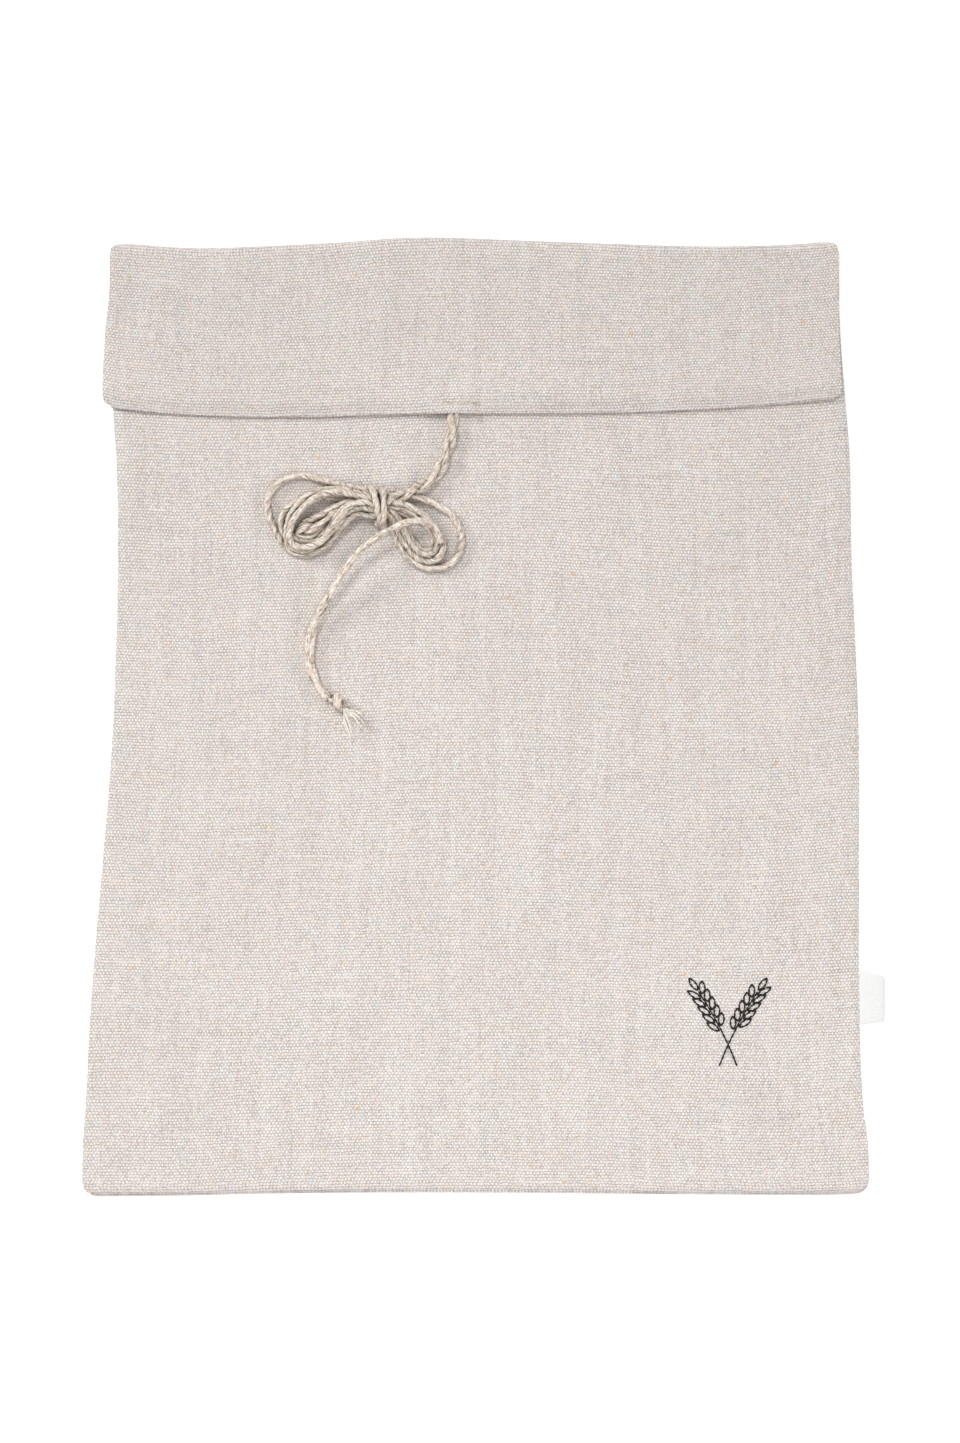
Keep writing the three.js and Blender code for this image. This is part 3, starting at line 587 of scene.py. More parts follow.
def settleStrands(routes, held):
    c = settleSet
    home = np.vstack(routes)
    spots = home.copy()
    owner = np.concatenate([np.full(len(r), k) for k, r in enumerate(routes)])
    order = np.concatenate([np.arange(len(r)) for r in routes])
    loose = np.array([k not in held for k in owner])
    inner = np.concatenate([np.r_[False, np.ones(len(r) - 2, bool), False] for r in routes])
    near = (owner[:, None] == owner[None, :]) & (np.abs(order[:, None] - order[None, :]) < c["skip"])
    for _ in range(c["rounds"]):
        gap = spots[:, None, :] - spots[None, :, :]
        far = np.linalg.norm(gap, axis=2)
        press = np.where(near, 0, np.maximum(c["touch"] - far, 0))
        push = (gap / np.maximum(far, 0.05)[:, :, None] * press[:, :, None]).sum(1) * c["push"]
        spots[loose] += np.clip(push, -c["step"], c["step"])[loose]
        even = (np.roll(spots, 1, 0) + np.roll(spots, -1, 0)) / 2
        spots[loose & inner] += c["smooth"] * (even - spots)[loose & inner]
        away = spots - home
        reach = np.linalg.norm(away, axis=1, keepdims=True)
        spots = home + away * np.minimum(1, c["most"] / np.maximum(reach, 1e-6)) * c["home"]
        floor = frontTop(spots[:, 0], spots[:, 1]) + twineSet["radius"] + c["clear"]
        spots[:, 2] = np.where(loose, np.maximum(spots[:, 2], floor), spots[:, 2])
    return [spots[owner == k] for k in range(len(routes))]


def strandFrames(points):  # a steady pair of directions across the strand
    ahead = np.gradient(points, axis=0)
    ahead /= np.linalg.norm(ahead, axis=1)[:, None]
    first = np.cross(ahead[0], (0, 0, 1))
    if np.linalg.norm(first) < 0.1:
        first = np.cross(ahead[0], (1, 0, 0))
    rows = [first / np.linalg.norm(first)]
    for step in ahead[1:]:
        turned = rows[-1] - step * np.dot(rows[-1], step)
        rows.append(turned / np.linalg.norm(turned))
    across = np.array(rows)
    return ahead, across, np.cross(ahead, across)


def newSink():  # a mesh in the making; hubs are the middles of its strands
    return {"points": [], "faces": [], "maps": [], "hubs": []}


def tube(rings, maps, sink):  # one closed tube from its rings, added to the mesh lists
    start, count, size = len(sink["points"]), len(rings), len(rings[0])
    for ring, row in zip(rings, maps):
        sink["points"].extend(ring)
        sink["maps"].extend(row)
    for i in range(count - 1):
        for j in range(size):
            a, b = start + i * size + j, start + i * size + (j + 1) % size
            sink["faces"].append((a, b, b + size, a + size))
    sink["faces"].append(tuple(start + j for j in reversed(range(size))))
    sink["faces"].append(tuple(start + (count - 1) * size + j for j in range(size)))


def layTwine(points, sink, begin, seed, thick=1.0, lay=twineSet["lay"]):  # two plies, loosely and unevenly twisted
    c = twineSet
    _, across, up = strandFrames(points)
    run = begin + runAlong(points)
    rough = random.Random(seed)
    start = [rough.uniform(0, 2 * math.pi) for _ in range(8)]
    fine = np.arange(0, run[-1] + 1, 0.5)
    rate = 1 + 0.55 * np.sin(2 * math.pi * fine / 41 + start[0]) + 0.35 * np.sin(2 * math.pi * fine / 19 + start[1])
    twist = np.interp(run, fine, np.cumsum(rate) * 0.5 * 2 * math.pi / lay)
    around = np.linspace(0, 2 * math.pi, c["round"], endpoint=False)
    thick = np.broadcast_to(thick, len(points))
    for ply in (0, 1):
        angle = (start[2] + twist + ply * math.pi)[:, None]
        outward = across * np.cos(angle) + up * np.sin(angle)
        sideways = up * np.cos(angle) - across * np.sin(angle)
        size = thick * (1 + 0.09 * np.sin(run / 2.3 + start[3 + ply]) + 0.07 * np.sin(run / 5.9 + start[5 + ply]))
        lobes = 1 + np.random.default_rng(2 * seed + ply).normal(0, c["rough"], (len(points), c["round"]))
        for k, (count, high, turn) in enumerate(c["ridges"]):
            lobes = lobes + high * np.sin(count * around + turn * run[:, None] + start[5 + k])
        wide, tall = (half * size[:, None] * lobes for half in c["plyHalf"])
        out = c["plyOut"] * thick[:, None] + wide * np.cos(around)
        side = tall * np.sin(around)
        rings = points[:, None] + outward[:, None] * out[:, :, None] + sideways[:, None] * side[:, :, None]
        shift = 0.37 * ply + 0.11 * seed  # no two plies start at the same place of the material
        maps = [[(far * mm + shift, j / c["round"] + 2 * ply) for j in range(c["round"])] for far in run]
        tube(rings, maps, sink)
        sink["hubs"].extend(np.repeat(points, c["round"], axis=0))


gapShadeSet = {"reach": 2.1, "share": 0.72, "batch": 4000}


def shadeGaps(sink, hubs):  # painted shade: how much other strands stand in front of each spot of a strand
    points = np.array(sink["points"], np.float32)
    out = points - np.array(sink["hubs"], np.float32)
    out /= np.linalg.norm(out, axis=1)[:, None]
    hubs = np.asarray(hubs, np.float32)
    shade = np.zeros(len(points), np.float32)
    for start in range(0, len(points), gapShadeSet["batch"]):
        part = slice(start, start + gapShadeSet["batch"])
        gap = hubs[None] - points[part, None]
        far = np.linalg.norm(gap, axis=2)
        facing = np.maximum(np.einsum("ijk,ik->ij", gap, out[part]) / far, 0)
        shade[part] = 1 - np.exp(-gapShadeSet["share"] * (facing * np.exp(-(far / gapShadeSet["reach"]) ** 2)).sum(1))
    return shade


def sweep(points, sizes, runs, sides, sink, flat=1.0):  # a thin thread of changing size
    points = np.asarray(points, float)
    _, across, up = strandFrames(points)
    turns = [2 * math.pi * j / sides for j in range(sides)]
    rings, maps = [], []
    for spot, wide, tall, size, run in zip(points, across, up, sizes, runs):
        rings.append([spot + (wide * math.cos(a) + tall * math.sin(a) * flat) * size for a in turns])
        maps.append([(run, j / sides) for j in range(sides)])
    tube(rings, maps, sink)


def layFibre(points, sink, root, tip, begin, sides=3, flat=1.0):  # one loose fibre that thins to its tip
    share = np.linspace(0, 1, len(points))
    sweep(points, root + (tip - root) * share, begin + share * 0.01, sides, sink, flat)


def layFuzz(points, sink, rough):  # short hairs that stand off a strand
    ahead, across, up = strandFrames(points)
    for _ in range(int(runAlong(points)[-1] * fuzzSet["perMm"])):
        i = rough.randrange(1, len(points) - 2)
        a = rough.uniform(0, 2 * math.pi)
        out = across[i] * math.cos(a) + up[i] * math.sin(a)
        lean = ahead[i] * rough.uniform(-1.2, 1.2)
        root = points[i] + out * 0.95
        size = rough.uniform(*fuzzSet["reach"])
        bend = across[i] * rough.uniform(-0.5, 0.5) + up[i] * rough.uniform(-0.4, 0.3)
        hair = [root + (out * 0.7 + lean) * size * t + bend * size * t * t for t in (0, 0.35, 0.7, 1.0)]
        for spot in hair:
            spot[2] = max(spot[2], float(frontTop(spot[0], spot[1])) + 0.05)
        layFibre(hair, sink, fuzzSet["root"], fuzzSet["tip"], rough.uniform(0, 9))


def cutRoute(route, share):  # the step at which a strand leaves the bow, and how far along it that is
    cut = int(round(share * (len(route) - 1)))
    return cut, runAlong(route[:cut + 1])[-1]


def makeTie():
    loops = [evenRoute(clothRoute(rows), 1.0) for rows in bowLoops]
    for k, route in enumerate(loops):  # wound by hand, so no loop is quite even
        rough = random.Random(40 + k)
        share = np.linspace(0, 1, len(route))
        for axis in (0, 1, 2):
            wave = [rough.uniform(-1, 1) * np.sin(2 * math.pi * n * share + rough.uniform(0, 6.3)) for n in range(1, 5)]
            route[:, axis] += loopSway * sum(wave) * np.sin(np.pi * share)
    middle = float(frontTop(wrapSet["x"], wrapSet["y"])) + restHeight + wrapSet["up"]
    wrap = evenRoute(windTurns(wrapSet, middle, 80), 1.0)
    leads = [evenRoute(leadRoute(hand), 1.0) for hand in (-1, 1)]
    tail = evenRoute(clothRoute(tailRows), 1.0)
    routes = settleStrands([*loops, wrap, *leads, tail], {len(loops)})  # the wrap keeps its place
    routes = [evenRoute(route, twineSet["step"]) for route in routes]
    *loops, wrap, leadLeft, leadRight, tail = routes
    meshes = {name: newSink() for name in ("bow", "fuzz", "leadLeft", "leadRight", "tail")}
    rough = random.Random(5)
    for k, route in enumerate([*loops, wrap]):
        layTwine(route, meshes["bow"], 0.0, k)
        layFuzz(route, meshes["fuzz"], rough)
    free = {}
    for seed, name, route in ((30, "leadLeft", leadLeft), (31, "leadRight", leadRight)):
        cut, begin = cutRoute(route, leadSet["inBow"])
        layTwine(route[:cut + 1], meshes[name], 0.0, seed)
        layTwine(route[cut:], meshes["bow"], begin, seed)
        layFuzz(route, meshes["fuzz"], rough)
        free[name] = route[:cut + 1]
    cut, begin = cutRoute(tail, tailSet["inBow"])
    loose = smoothStep(np.linspace(0, 1, len(tail)), *tailSet["slackens"])
    slack = 1 + tailSet["slack"] * loose  # it loosens towards the knot
    layTwine(tail[:cut + 1], meshes["bow"], 0.0, 34, slack[:cut + 1], tailSet["lay"])
    layTwine(tail[cut:], meshes["tail"], begin, 34, slack[cut:], tailSet["lay"])
    layFuzz(tail, meshes["fuzz"], rough)
    free["tail"] = tail[cut:]
    return meshes, free, np.vstack([route[::2] for route in routes])


def makeKnot(end):
    c = knotSet
    knot, step = newSink(), twineSet["step"]
    axis = math.radians(c["axis"])
    middle = float(frontTop(c["x"], c["y"])) + c["up"] + c["clear"]
    layTwine(evenRoute(windTurns(c, middle, 60), step), knot, 0.0, 50, c["thick"])
    core = [end]
    for along in c["core"]:
        fall = c["fall"] * (along - c["core"][0])
        core.append((c["x"] + along * math.cos(axis), c["y"] + along * math.sin(axis), middle - fall))
    layTwine(evenRoute(core, step), knot, 0.0, 51, c["thick"])
    return knot, (c["x"] + 1.2, c["y"] - 0.6, middle - 0.2)


def makeFray(c, root):
    fray, rough = newSink(), random.Random(9)
    for *spots, bundles, singles in frayRows:
        guide = [root] + [(*spot, float(frontTop(*spot)) + lift) for spot, lift in zip(spots, c["lifts"])]
        guide = evenRoute(guide, 0.9)
        share = np.linspace(0, 1, len(guide))
        for kind in [c["bundle"]] * bundles + [c["single"]] * singles:
            spread = np.array([rough.gauss(0, wide) for wide in (kind["loose"], kind["loose"], c["spread"])])
            curl = [rough.uniform(*c["curl"]) for _ in range(3)]
            wave = np.stack([np.sin(share * turn + rough.uniform(0, 6)) * c["wave"] * share for turn in curl], 1)
            fibre = guide + spread * (0.25 + share[:, None] ** 1.6) + wave
            fibre = fibre[:max(int(len(guide) * rough.uniform(*c["kept"])), 5)]
            fibre[:, 2] = np.maximum(fibre[:, 2], frontTop(fibre[:, 0], fibre[:, 1]) + c["clear"])
            thick = rough.uniform(*kind["root"])
            layFibre(fibre, fray, thick, kind["tip"], rough.uniform(0, 9), kind["sides"], kind["flat"])
    return fray


tieMeshes, freeRoutes, strandHubs = makeTie()
knotMesh, frayRoot = makeKnot(freeRoutes["tail"][-1])
frayMesh = makeFray(fraySet, frayRoot)
strandHubs = np.vstack([strandHubs, np.array(knotMesh["hubs"])[::64]])


def makeTwine(name, sink, node=None, material=twine):
    # painted shade from the strands that lie close in front
    shade = shadeGaps(sink, strandHubs) if sink["hubs"] else None
    piece = makeThread(name, sink, material, shade)
    if node:
        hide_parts(node)
    return piece


makeTwine("twineBow", tieMeshes["bow"], "twine_bow")
makeTwine("twineFuzz", tieMeshes["fuzz"], None, looseFibre)
knot = makeTwine("twineKnot", knotMesh, "twine_knot")
fray = makeTwine("twineFray", frayMesh, None, looseFibre)
cords = {
    "leadLeft": ("twineLeadLeft", "twine_lead_left", []),
    "leadRight": ("twineLeadRight", "twine_lead_right", []),
    "tail": ("twineTail", "twine_tail", [knot, fray]),
}
for key, (name, node, others) in cords.items():
    piece, route = makeTwine(name, tieMeshes[key], node), freeRoutes[key]
    tuple(route[0] * mm)
    [tuple(p * mm) for p in route]

# the two panels: cut width and length of the body, the turn at the fold, the seams and the corners
clothSet = {
    "width": 297.0, "length": 366.0, "column": 2.1, "row": 2.1, "seamSteps": [0.0, 0.45, 1.0, 1.7, 2.7], "seamIn": 4.2,
    "foldIn": 2.8, "axis": 2.8, "turn": (2.4, 0.9), "settle": 0.6, "frontShort": 5.0, "drop": 1.18, "tuck": (-0.5, 0.4),
    "edge": 0.53, "foldEdge": 0.3, "flapEdge": 0.28, "edgeReach": 1.2, "edgeEnds": (165, 178), "creaseEnds": (96, 110),
    "cornerLeft": 6.0, "cornerRight": 5.0, "foldCorner": 5.4, "mouthCorner": 3.0,
}
hemSet = {"width": 12.0, "lift": 0.5, "ramp": 4.0, "under": 0.64, "groove": 0.2, "grooveIn": 0.6, "grooveHalf": 0.9}
tieLift = {"x": -12.2, "rise": 1.3, "half": 9.0, "ends": (4, 15.0)}
# creases of the front and the flap: x, y, half length, half width, turn, rise (a trough is below 0)
frontCreases = [
    (-118, -150, 46, 5.0, 42, 0.35), (118, -150, 40, 5.0, 138, 0.32), (-126, -60, 60, 6.0, 84, 0.22),
    (126, 10, 70, 6.0, 92, 0.24), (-60, -20, 70, 7.0, 20, -0.16), (50, -110, 66, 8.0, 168, 0.18),
    (96, 60, 40, 5.5, 58, -0.2), (-20, -160, 80, 6.0, 3, 0.22), (-104, 84, 34, 5.0, 118, 0.22),
    (60, 92, 52, 5.0, 176, 0.2),
]
flapCreases = [
    (-96, 40, 30, 5.0, 12, 0.22), (60, 26, 46, 6.0, 172, 0.2), (116, 44, 20, 4.0, 60, 0.25),
    (-130, 30, 18, 4.0, 118, 0.22), (10, 44, 40, 6.0, 4, -0.14),
]
creaseBend = 0.0025  # a crease is never quite straight
unevenWaves = [(random.uniform(14, 60), random.uniform(0, math.pi), random.uniform(0, 6.3)) for _ in range(16)]


def uneven(x, y):  # the cloth is nowhere quite flat
    total = 0.0
    for length, turn, start in unevenWaves:
        along = x * math.cos(turn) + y * math.sin(turn)
        total = total + 0.0011 * length * np.sin(2 * math.pi * along / length + start)
    return total


def cornerInset(radius, distance):
    left = np.clip(radius - distance, 0, radius)
    return radius - np.sqrt(radius ** 2 - left ** 2)


def frontDetail(x, y):
    stop = clothSet["creaseEnds"][1]
    fromSide, fromBottom = np.minimum(x - leftSide(y), rightSide(y) - x), y - bottomLine(x)
    fromEnd = np.minimum(fromBottom, stop - y)
    quiet = 1 - 0.8 * np.exp(-((x + 40) / 50) ** 2 - ((y - 62) / 46) ** 2)  # flatter under the tie
    shape = ridges(frontCreases, x, y, 4, creaseBend) + uneven(x, y)
    shape = shape * smoothStep(np.minimum(fromSide, fromEnd), 1, 16) * quiet
    side = 0.14 * np.sin(2 * math.pi * y / 7.3 + 1.7 * np.sin(y / 19)) * np.exp(-fromSide / 3.2)
    low = 0.12 * np.sin(2 * math.pi * x / 8.1 + 1.5 * np.sin(x / 23)) * np.exp(-np.maximum(fromBottom, 0) / 3.0)
    pucker = (side + low) * smoothStep(fromEnd, -0.1, 1.5) * smoothStep(stop - y, 0, 8)
    return (shape + pucker) * (1 - smoothStep(y, *clothSet["creaseEnds"]))


def flapDetail(x, y, back):
    return ridges(flapCreases, x, back, 4, creaseBend) + uneven(x + 200, y) * 0.8


def tieRide(x):
    return np.exp(-((x - tieLift["x"]) / tieLift["half"]) ** 2)


def hemLift(x, fromEdge):  # the hem is thicker than the flap, and it rides over the tie
    hem = 1 - smoothStep(fromEdge, hemSet["width"], hemSet["width"] + hemSet["ramp"])
    return hemSet["lift"] * hem + tieLift["rise"] * tieRide(x) * (1 - smoothStep(fromEdge, *tieLift["ends"]))


def edgeShares(c):  # columns, closer together at the two seams
    inner = np.linspace(c["seamIn"], c["width"] - c["seamIn"], int((c["width"] - 2 * c["seamIn"]) / c["column"]) + 1)
    last = [c["width"] - step for step in reversed(c["seamSteps"])]
    return np.concatenate([c["seamSteps"], inner, last]) / c["width"]


def clothStations(c, front):  # rows, from the bottom seam round the fold to the mouth
    body = [*c["seamSteps"], *np.linspace(c["seamIn"], c["length"], int(c["length"] / c["row"]))]
    rows = [("body", at / c["length"]) for at in body]
    rows += [("fold", t) for t in np.linspace(0, 1, 15)[1:]]
    rows += [("flap", t) for t in [*np.linspace(0, 0.9, 28)[1:], 0.92, 0.94, 0.957, 0.97, 0.98, 0.99, 1.0]]
    if not front:
        rows += [("turn", t) for t in np.linspace(0, 1, 9)[1:]]
        rows += [("under", t) for t in [0.06, 0.14, 0.24, 0.36, 0.5, 0.66, 0.83, 1.0]]
    return rows


def seamEdge(away, deep):  # the panels draw together at a seam
    return deep * np.exp(-(away / clothSet["edgeReach"]) ** 2)


def bodyRow(c, t, shares, front):
    first, last = bottomRows[0][1], foldRows[0][1]
    level = first + (last - first) * t
    atFold = cornerInset(c["foldCorner"], c["foldIn"] + last - level)
    left = leftSide(level) + cornerInset(c["cornerLeft"], level - first) + atFold
    right = rightSide(level) - cornerInset(c["cornerRight"], level - first) - atFold
    x = left + (right - left) * shares
    base, top = bottomLine(x), foldLine(x) - c["foldIn"]
    tuck = c["tuck"][front]  # the back shows a little below the front's edge
    y = base + tuck + (top - base - tuck) * t
    away = np.minimum(np.minimum(x - left, right - x), y - base)
    edge = seamEdge(away, c["edge"]) * (1 - smoothStep(y, *c["edgeEnds"]))
    if front:
        return x, y, layerSet["front"] + swell(x, y) + frontDetail(x, y) - edge
    return x, y, layerSet["back"] + edge


def foldRow(c, t, shares, front):
    out = math.sin(math.pi * t)
    inset = cornerInset(c["foldCorner"], c["foldIn"] * (1 - out))
    x = flapLeft(0) + inset + (flapRight(0) - flapLeft(0) - 2 * inset) * shares
    edge = seamEdge(np.minimum(x - x[0], x[-1] - x), c["foldEdge"]) * (1 if front else -1)
    radius = c["turn"][front] + edge * out
    return x, foldLine(x) - c["foldIn"] + radius * out, c["axis"] - radius * math.cos(math.pi * t)


def flapRow(c, zone, t, shares, front):
    short = c["frontShort"] if front else hemSet["under"]
    guess = flapLeft(0) + (flapRight(0) - flapLeft(0)) * shares
    length = foldLine(guess) - c["foldIn"] - mouthLine(guess) - short
    back = {"flap": length * t, "turn": length, "under": length - hemSet["width"] * t}[zone]
    fromEdge = length - back
    inset = cornerInset(c["mouthCorner"], fromEdge) + cornerInset(c["foldCorner"], c["foldIn"] + back)
    x = flapLeft(back) + inset + (flapRight(back) - flapLeft(back) - 2 * inset) * shares
    start = foldLine(x) - c["foldIn"]
    y = start - back * (start - mouthLine(x) - short) / length
    away = np.minimum(x - x[0], x[-1] - x)
    calm = smoothStep(back, 0, 12) * smoothStep(away, 0.5, 9)
    z = c["axis"] + c["turn"][front] - c["settle"] * smoothStep(back, 0, 30) + flapDetail(x, y, back) * calm
    z = z + seamEdge(away, c["flapEdge"]) * (1 if front else -1)
    if not front:
        z = z + hemLift(x, fromEdge)
        z = z - c["drop"] * (1 - tieRide(x)) * (1 - smoothStep(fromEdge, 0, c["frontShort"]))
    if zone == "flap" and not front:  # the sewn line along the hem's top
        sewn = (fromEdge - hemSet["width"] + hemSet["grooveIn"]) / hemSet["grooveHalf"]
        z = z - hemSet["groove"] * np.exp(-sewn ** 2)
    elif zone == "turn":
        half = hemSet["under"] / 2
        y = y - half * math.sin(math.pi * t)
        z = z - half * (1 - math.cos(math.pi * t))
    elif zone == "under":
        z = z - hemSet["under"]
    return x, y, z


def layPanel(c, front):
    shares = edgeShares(c)
    rows = []
    for zone, t in clothStations(c, front):
        if zone == "body":
            row = bodyRow(c, t, shares, front)
        elif zone == "fold":
            row = foldRow(c, t, shares, front)
        else:
            row = flapRow(c, zone, t, shares, front)
        rows.append(np.stack(row, 1))
    return np.array(rows), shares


def unit(vectors):
    return vectors / np.maximum(np.linalg.norm(vectors, axis=-1, keepdims=True), 1e-9)


def clothShell(name, grid, shares, thick, width, material):  # a sheet with two faces and round edges
    count, wide = grid.shape[:2]
    normal = unit(np.cross(np.gradient(grid, axis=1), np.gradient(grid, axis=0)))
    run = runAlong(grid[:, wide // 2])
    flat = np.stack(np.broadcast_arrays((shares[None, :] - 0.5) * width, run[:, None]), 2) * mm
    half = thick / 2
    points = [*(grid + normal * half).reshape(-1, 3), *(grid - normal * half).reshape(-1, 3)]
    maps = [*flat.reshape(-1, 2), *flat.reshape(-1, 2)]
    faces, other = [], count * wide
    for i in range(count - 1):
        for j in range(wide - 1):
            a = i * wide + j
            faces.append((a, a + 1, a + wide + 1, a + wide))
            faces.append((other + a, other + a + wide, other + a + wide + 1, other + a + 1))
    ring = [(0, j) for j in range(wide)] + [(i, wide - 1) for i in range(1, count)]
    ring += [(count - 1, j) for j in range(wide - 2, -1, -1)] + [(i, 0) for i in range(count - 2, 0, -1)]
    spots, up = (np.array([table[i, j] for i, j in ring]) for table in (grid, normal))
    out = np.cross(unit(np.roll(spots, -1, 0) - np.roll(spots, 1, 0)), up)
    strips = [[i * wide + j for i, j in ring]]
    for angle in (45, 0, -45):
        c, s = math.cos(math.radians(angle)) * half, math.sin(math.radians(angle)) * half
        strips.append(list(range(len(points), len(points) + len(ring))))
        points.extend(spots + out * c + up * s)
        maps.extend([flat[i, j] for i, j in ring])
    strips.append([other + i * wide + j for i, j in ring])
    for upper, lower in zip(strips, strips[1:]):
        for k in range(len(ring)):
            n = (k + 1) % len(ring)
            faces.append((upper[k], lower[k], lower[n], upper[n]))
    return makePiece(name, points, faces, maps, material, "cloth"), run[-1]


def makeSheet(name, node, width, thick, material, grid, shares):
    piece, length = clothShell(name, grid, shares, thick, width, material)
    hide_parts(node)
    print(name, "is", len(piece.data.polygons), "faces, cut", width, "by", round(length, 1), "mm")


panels = (("backCloth", "back_panel", False, []), ("frontCloth", "front_panel", True, ["backCloth"]))
for name, node, front, restsOn in panels:
    grid, shares = layPanel(clothSet, front)
    makeSheet(name, node, clothSet["width"], layerSet["thick"], linen, grid, shares)

# tape label, folded over, its two ends in the right-hand seam
labelSet = {
    "y": -108.5, "height": 21.4, "foldHeight": 17.2, "reach": 10.2, "inSeam": 0.8, "thick": 0.4,
    "slant": 0.8, "gap": 0.5, "z": 1.05, "sag": 0.28, "wave": 0.10, "corner": 0.35,
}


def layLabel(c):
    seam, far = float(rightSide(c["y"])) - c["inSeam"], c["reach"] + c["inSeam"]
    shares = np.linspace(0, 1, 25)
    rows = []
    for s in np.linspace(-1, 1, 41):  # from the lower end round the fold to the upper end
        share = 1 - abs(s) ** 1.8
        belly = c["gap"] * np.sin(np.pi * min(1, (1 - abs(s) ** 1.35) * 0.62)) + 0.12
        tall = c["height"] + (c["foldHeight"] - c["height"]) * share
        x = seam + far * share - c["corner"] * (np.abs(shares - 0.5) * 2) ** 6 * share  # soft corners at the fold
        y = c["y"] - c["slant"] * share + (0.5 - shares) * tall
        z = c["z"] + np.sign(s) * belly * (1 - (1 - abs(s)) ** 6) - c["sag"] * share ** 2
        rows.append(np.stack([x, y, z + c["wave"] * np.sin(2 * np.pi * shares * 1.3 + 0.6) * share], 1))
    return np.array(rows), shares


grid, shares = layLabel(labelSet)
makeSheet("sideLabel", "side_label", labelSet["height"], labelSet["thick"], tape, grid, shares)


def clothHeight(x, y):  # top face of the front, creases included
    return frontTop(x, y) + frontDetail(np.asarray(x, float), np.asarray(y, float))


def flapHeight(x, y):
    back = float(foldLine(x)) - clothSet["foldIn"] - y
    level = clothSet["axis"] + clothSet["turn"][0] + layerSet["thick"] / 2 - clothSet["settle"]
    return level + hemLift(x, y - float(mouthLine(x))) + flapDetail(x, y, back)


def layStitch(start, end, radius, sink, height, rise=0.32):  # one stitch, its ends drawn into the cloth
    start, end = np.array(start, float), np.array(end, float)
    share = np.linspace(0, 1, 7)
    points = []
    for t in share:
        spot = start + (end - start) * t
        points.append((*spot, float(height(*spot)) - 0.25 + (rise + 0.12) * math.sin(math.pi * t) ** 0.6))
    sizes = radius * (0.75 + 0.25 * np.sin(math.pi * share))
    sweep(points, sizes, share * np.linalg.norm(end - start) * mm, 6, sink)


# two crossed ears of wheat, embroidered in thin dark lines at the lower right of the front
earsSet = {
    "x": 93.6, "y": -126.0, "lean": 21.0, "curve": 0.0035, "cross": 9.5, "stem": 32.0, "thread": 0.36, "stitch": 2.3,
    "grains": 5, "first": 15.0, "pitch": 3.5, "grain": 5.6, "topGrain": 5.8, "half": 1.15, "open": 30,
}


def makeEars(c):
    sink = newSink()

    def sew(line):  # back stitches along a line
        line = np.asarray(line, float)
        far = runAlong(line)
        at = np.linspace(0, far[-1], max(int(round(far[-1] / c["stitch"])), 1) + 1)
        spots = np.stack([np.interp(at, far, line[:, k]) for k in (0, 1)], 1)
        for start, end in zip(spots, spots[1:]):
            layStitch(start, end, c["thread"], sink, clothHeight)

    def place(hand, across, up):
        turn = math.radians(hand * c["lean"])
        bent, over = across + hand * c["curve"] * up ** 2, up - c["cross"]
        x = c["x"] + bent * math.cos(turn) + over * math.sin(turn)
        return x, c["y"] - bent * math.sin(turn) + over * math.cos(turn)

    def grain(hand, across, up, lean, long):
        ax, ay = math.sin(math.radians(lean)), math.cos(math.radians(lean))
        for side in (-1, 1):
            arc = []
            for t in np.linspace(0, 1, 9):
                off = side * c["half"] * math.sin(math.pi * t) ** 0.85
                arc.append(place(hand, across + ax * long * t + ay * off, up + ay * long * t - ax * off))
            sew(arc)

    for hand in (-1, 1):
        sew([place(hand, 0, up) for up in np.linspace(0, c["stem"], 24)])
        for k in range(c["grains"]):
            up = c["first"] + k * c["pitch"]
            grain(hand, -0.7, up, -c["open"], c["grain"])
            grain(hand, 0.7, up + 1.6, c["open"], c["grain"])
        grain(hand, 0.0, c["stem"] + 0.4, 0, c["topGrain"])
    return makeThread("wheatEars", sink, darkThread)


print("embroidered ears:", len(makeEars(earsSet).data.polygons), "faces")

# bar tack that holds the tie, in the flap's hem above it
tackSet = {"x": -9.6, "y": 120.2, "wide": 15.0, "stitch": 1.25, "lap": 0.75, "slope": 0.35, "thread": 0.16, "rise": 0.3}


def makeTack(c):
    sink = newSink()
    count = int(c["wide"] / (c["stitch"] * c["lap"]))
    for k in range(count):
        x = c["x"] - c["wide"] / 2 + c["wide"] * k / count
        y = c["y"] + 0.25 * math.sin(k * 1.3)
        end = (x + c["stitch"], y + (c["slope"] if k % 2 else -c["slope"]))
        layStitch((x, y - 0.1), end, c["thread"], sink, flapHeight, c["rise"])
    makeThread("barTack", sink, tackThread)


makeTack(tackSet)
print("bar tack sewn")

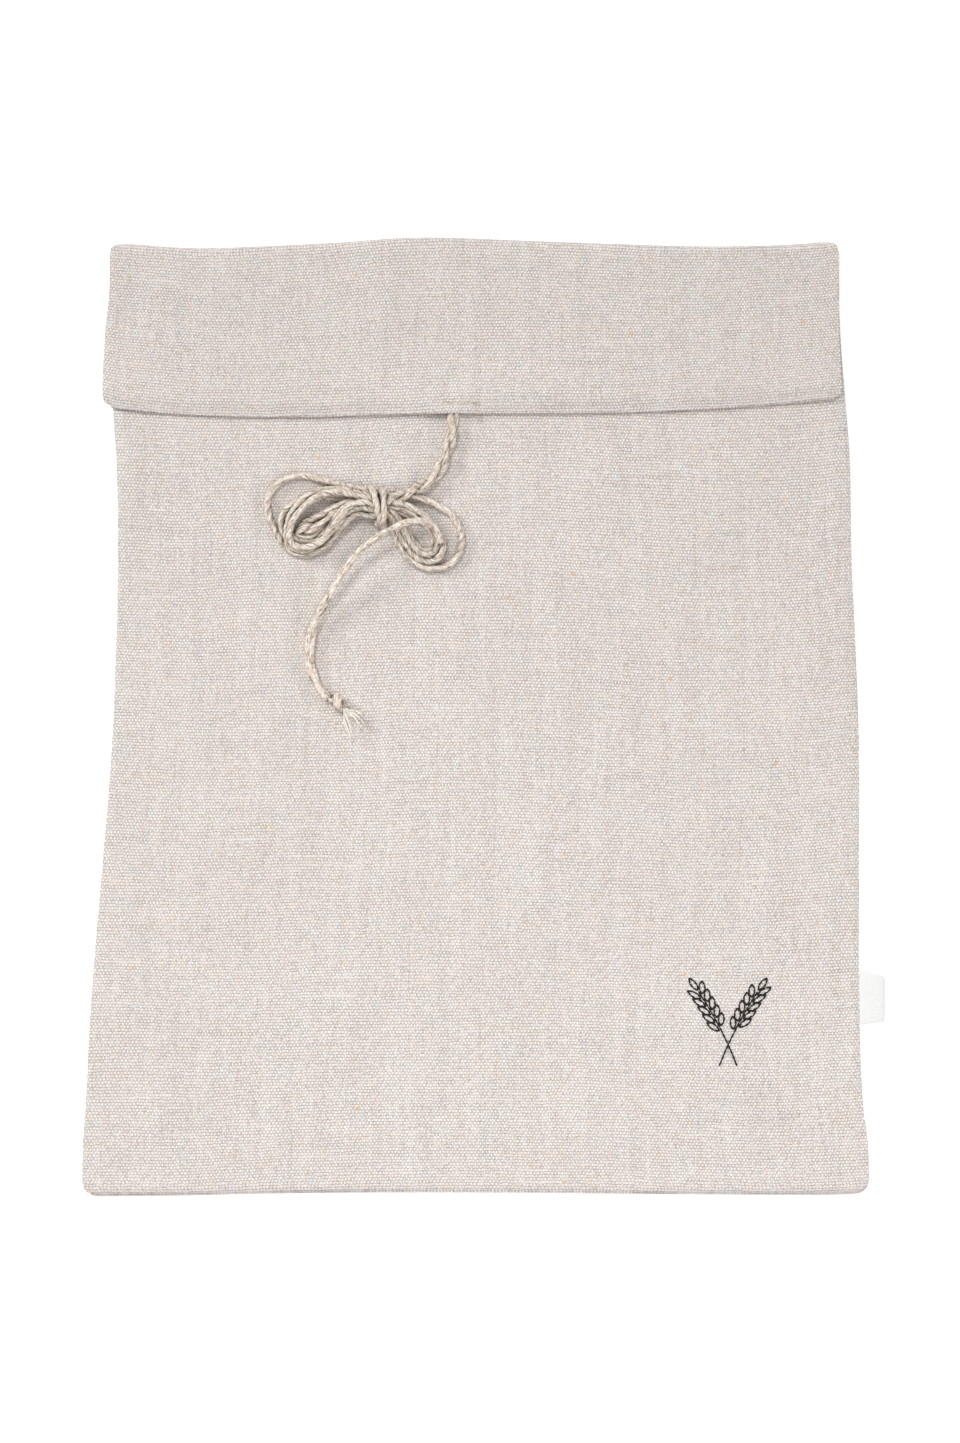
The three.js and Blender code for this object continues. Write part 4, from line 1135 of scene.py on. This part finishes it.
# pale glowing floor; a high key behind the flap, a soft light over the lower half, two low lights at the sides
floorSet = {
    "size": 6.0, "z": -0.0004, "colour": (0.93, 0.93, 0.93, 1.0), "light": (0.95, 0.95, 0.95, 1.0), "glow": 0.35,
}
# each area light: name, place, aim, size, spread, power
lightSet = {
    "world": 0.22,
    "areas": [
        ("key", (-0.75, 1.22, 2.65), (0.03, -0.28, 0.0), 0.80, 46.0, 2.68),
        ("low", (0.02, -0.30, 0.72), (0.0, -0.24, 0.0), 0.5, 150.0, 1.56),
        ("left", (-1.76, 1.12, 1.06), (0.0, -0.02, 0.0), 0.5, 180.0, 23.6),
        ("right", (2.07, -0.18, 1.06), (0.0, -0.02, 0.0), 0.72, 180.0, 14.4),
    ],
}


def makeFloor(c):
    bpy.ops.object.select_all(action="DESELECT")
    bpy.ops.mesh.primitive_plane_add(size=c["size"], location=(0, 0, c["z"]))
    bpy.ops.object.transform_apply(location=True)
    ground = bpy.context.object
    ground.name = "floor"
    material, kit = startMaterial("floorPaper")
    place = kit.node("ShaderNodeTexCoord", None, None, "Object")
    grain = kit.node("ShaderNodeTexNoise", None, {"Vector": place, "Scale": 90.0, "Detail": 2.0})
    endMaterial(kit, {
        "Base Color": kit.mix(grain, c["colour"], c["light"]), "Roughness": 0.9,
        "Emission Color": (1, 1, 1, 1), "Emission Strength": c["glow"],
    })
    ground.data.materials.append(material)


def makeLights(c):
    world = bpy.data.worlds.new("studio")
    bpy.context.scene.world = world
    world.use_nodes = True
    backdrop = world.node_tree.nodes["Background"].inputs
    backdrop["Color"].default_value, backdrop["Strength"].default_value = (1, 1, 1, 1), c["world"]
    for name, place, aim, size, spread, power in c["areas"]:
        lamp = bpy.data.lights.new(name, "AREA")
        lamp.size, lamp.spread, lamp.energy = size, math.radians(spread), power
        holder = bpy.data.objects.new(name, lamp)
        holder.location = place
        toward = np.array(aim) - np.array(place)
        drop = math.acos(-toward[2] / np.linalg.norm(toward))
        holder.rotation_euler = (0, -drop, math.atan2(toward[1], toward[0]))
        bpy.context.collection.objects.link(holder)


makeFloor(floorSet)
makeLights(lightSet)
bpy.context.scene.view_settings.view_transform = "Standard"
print("floor and lights placed")
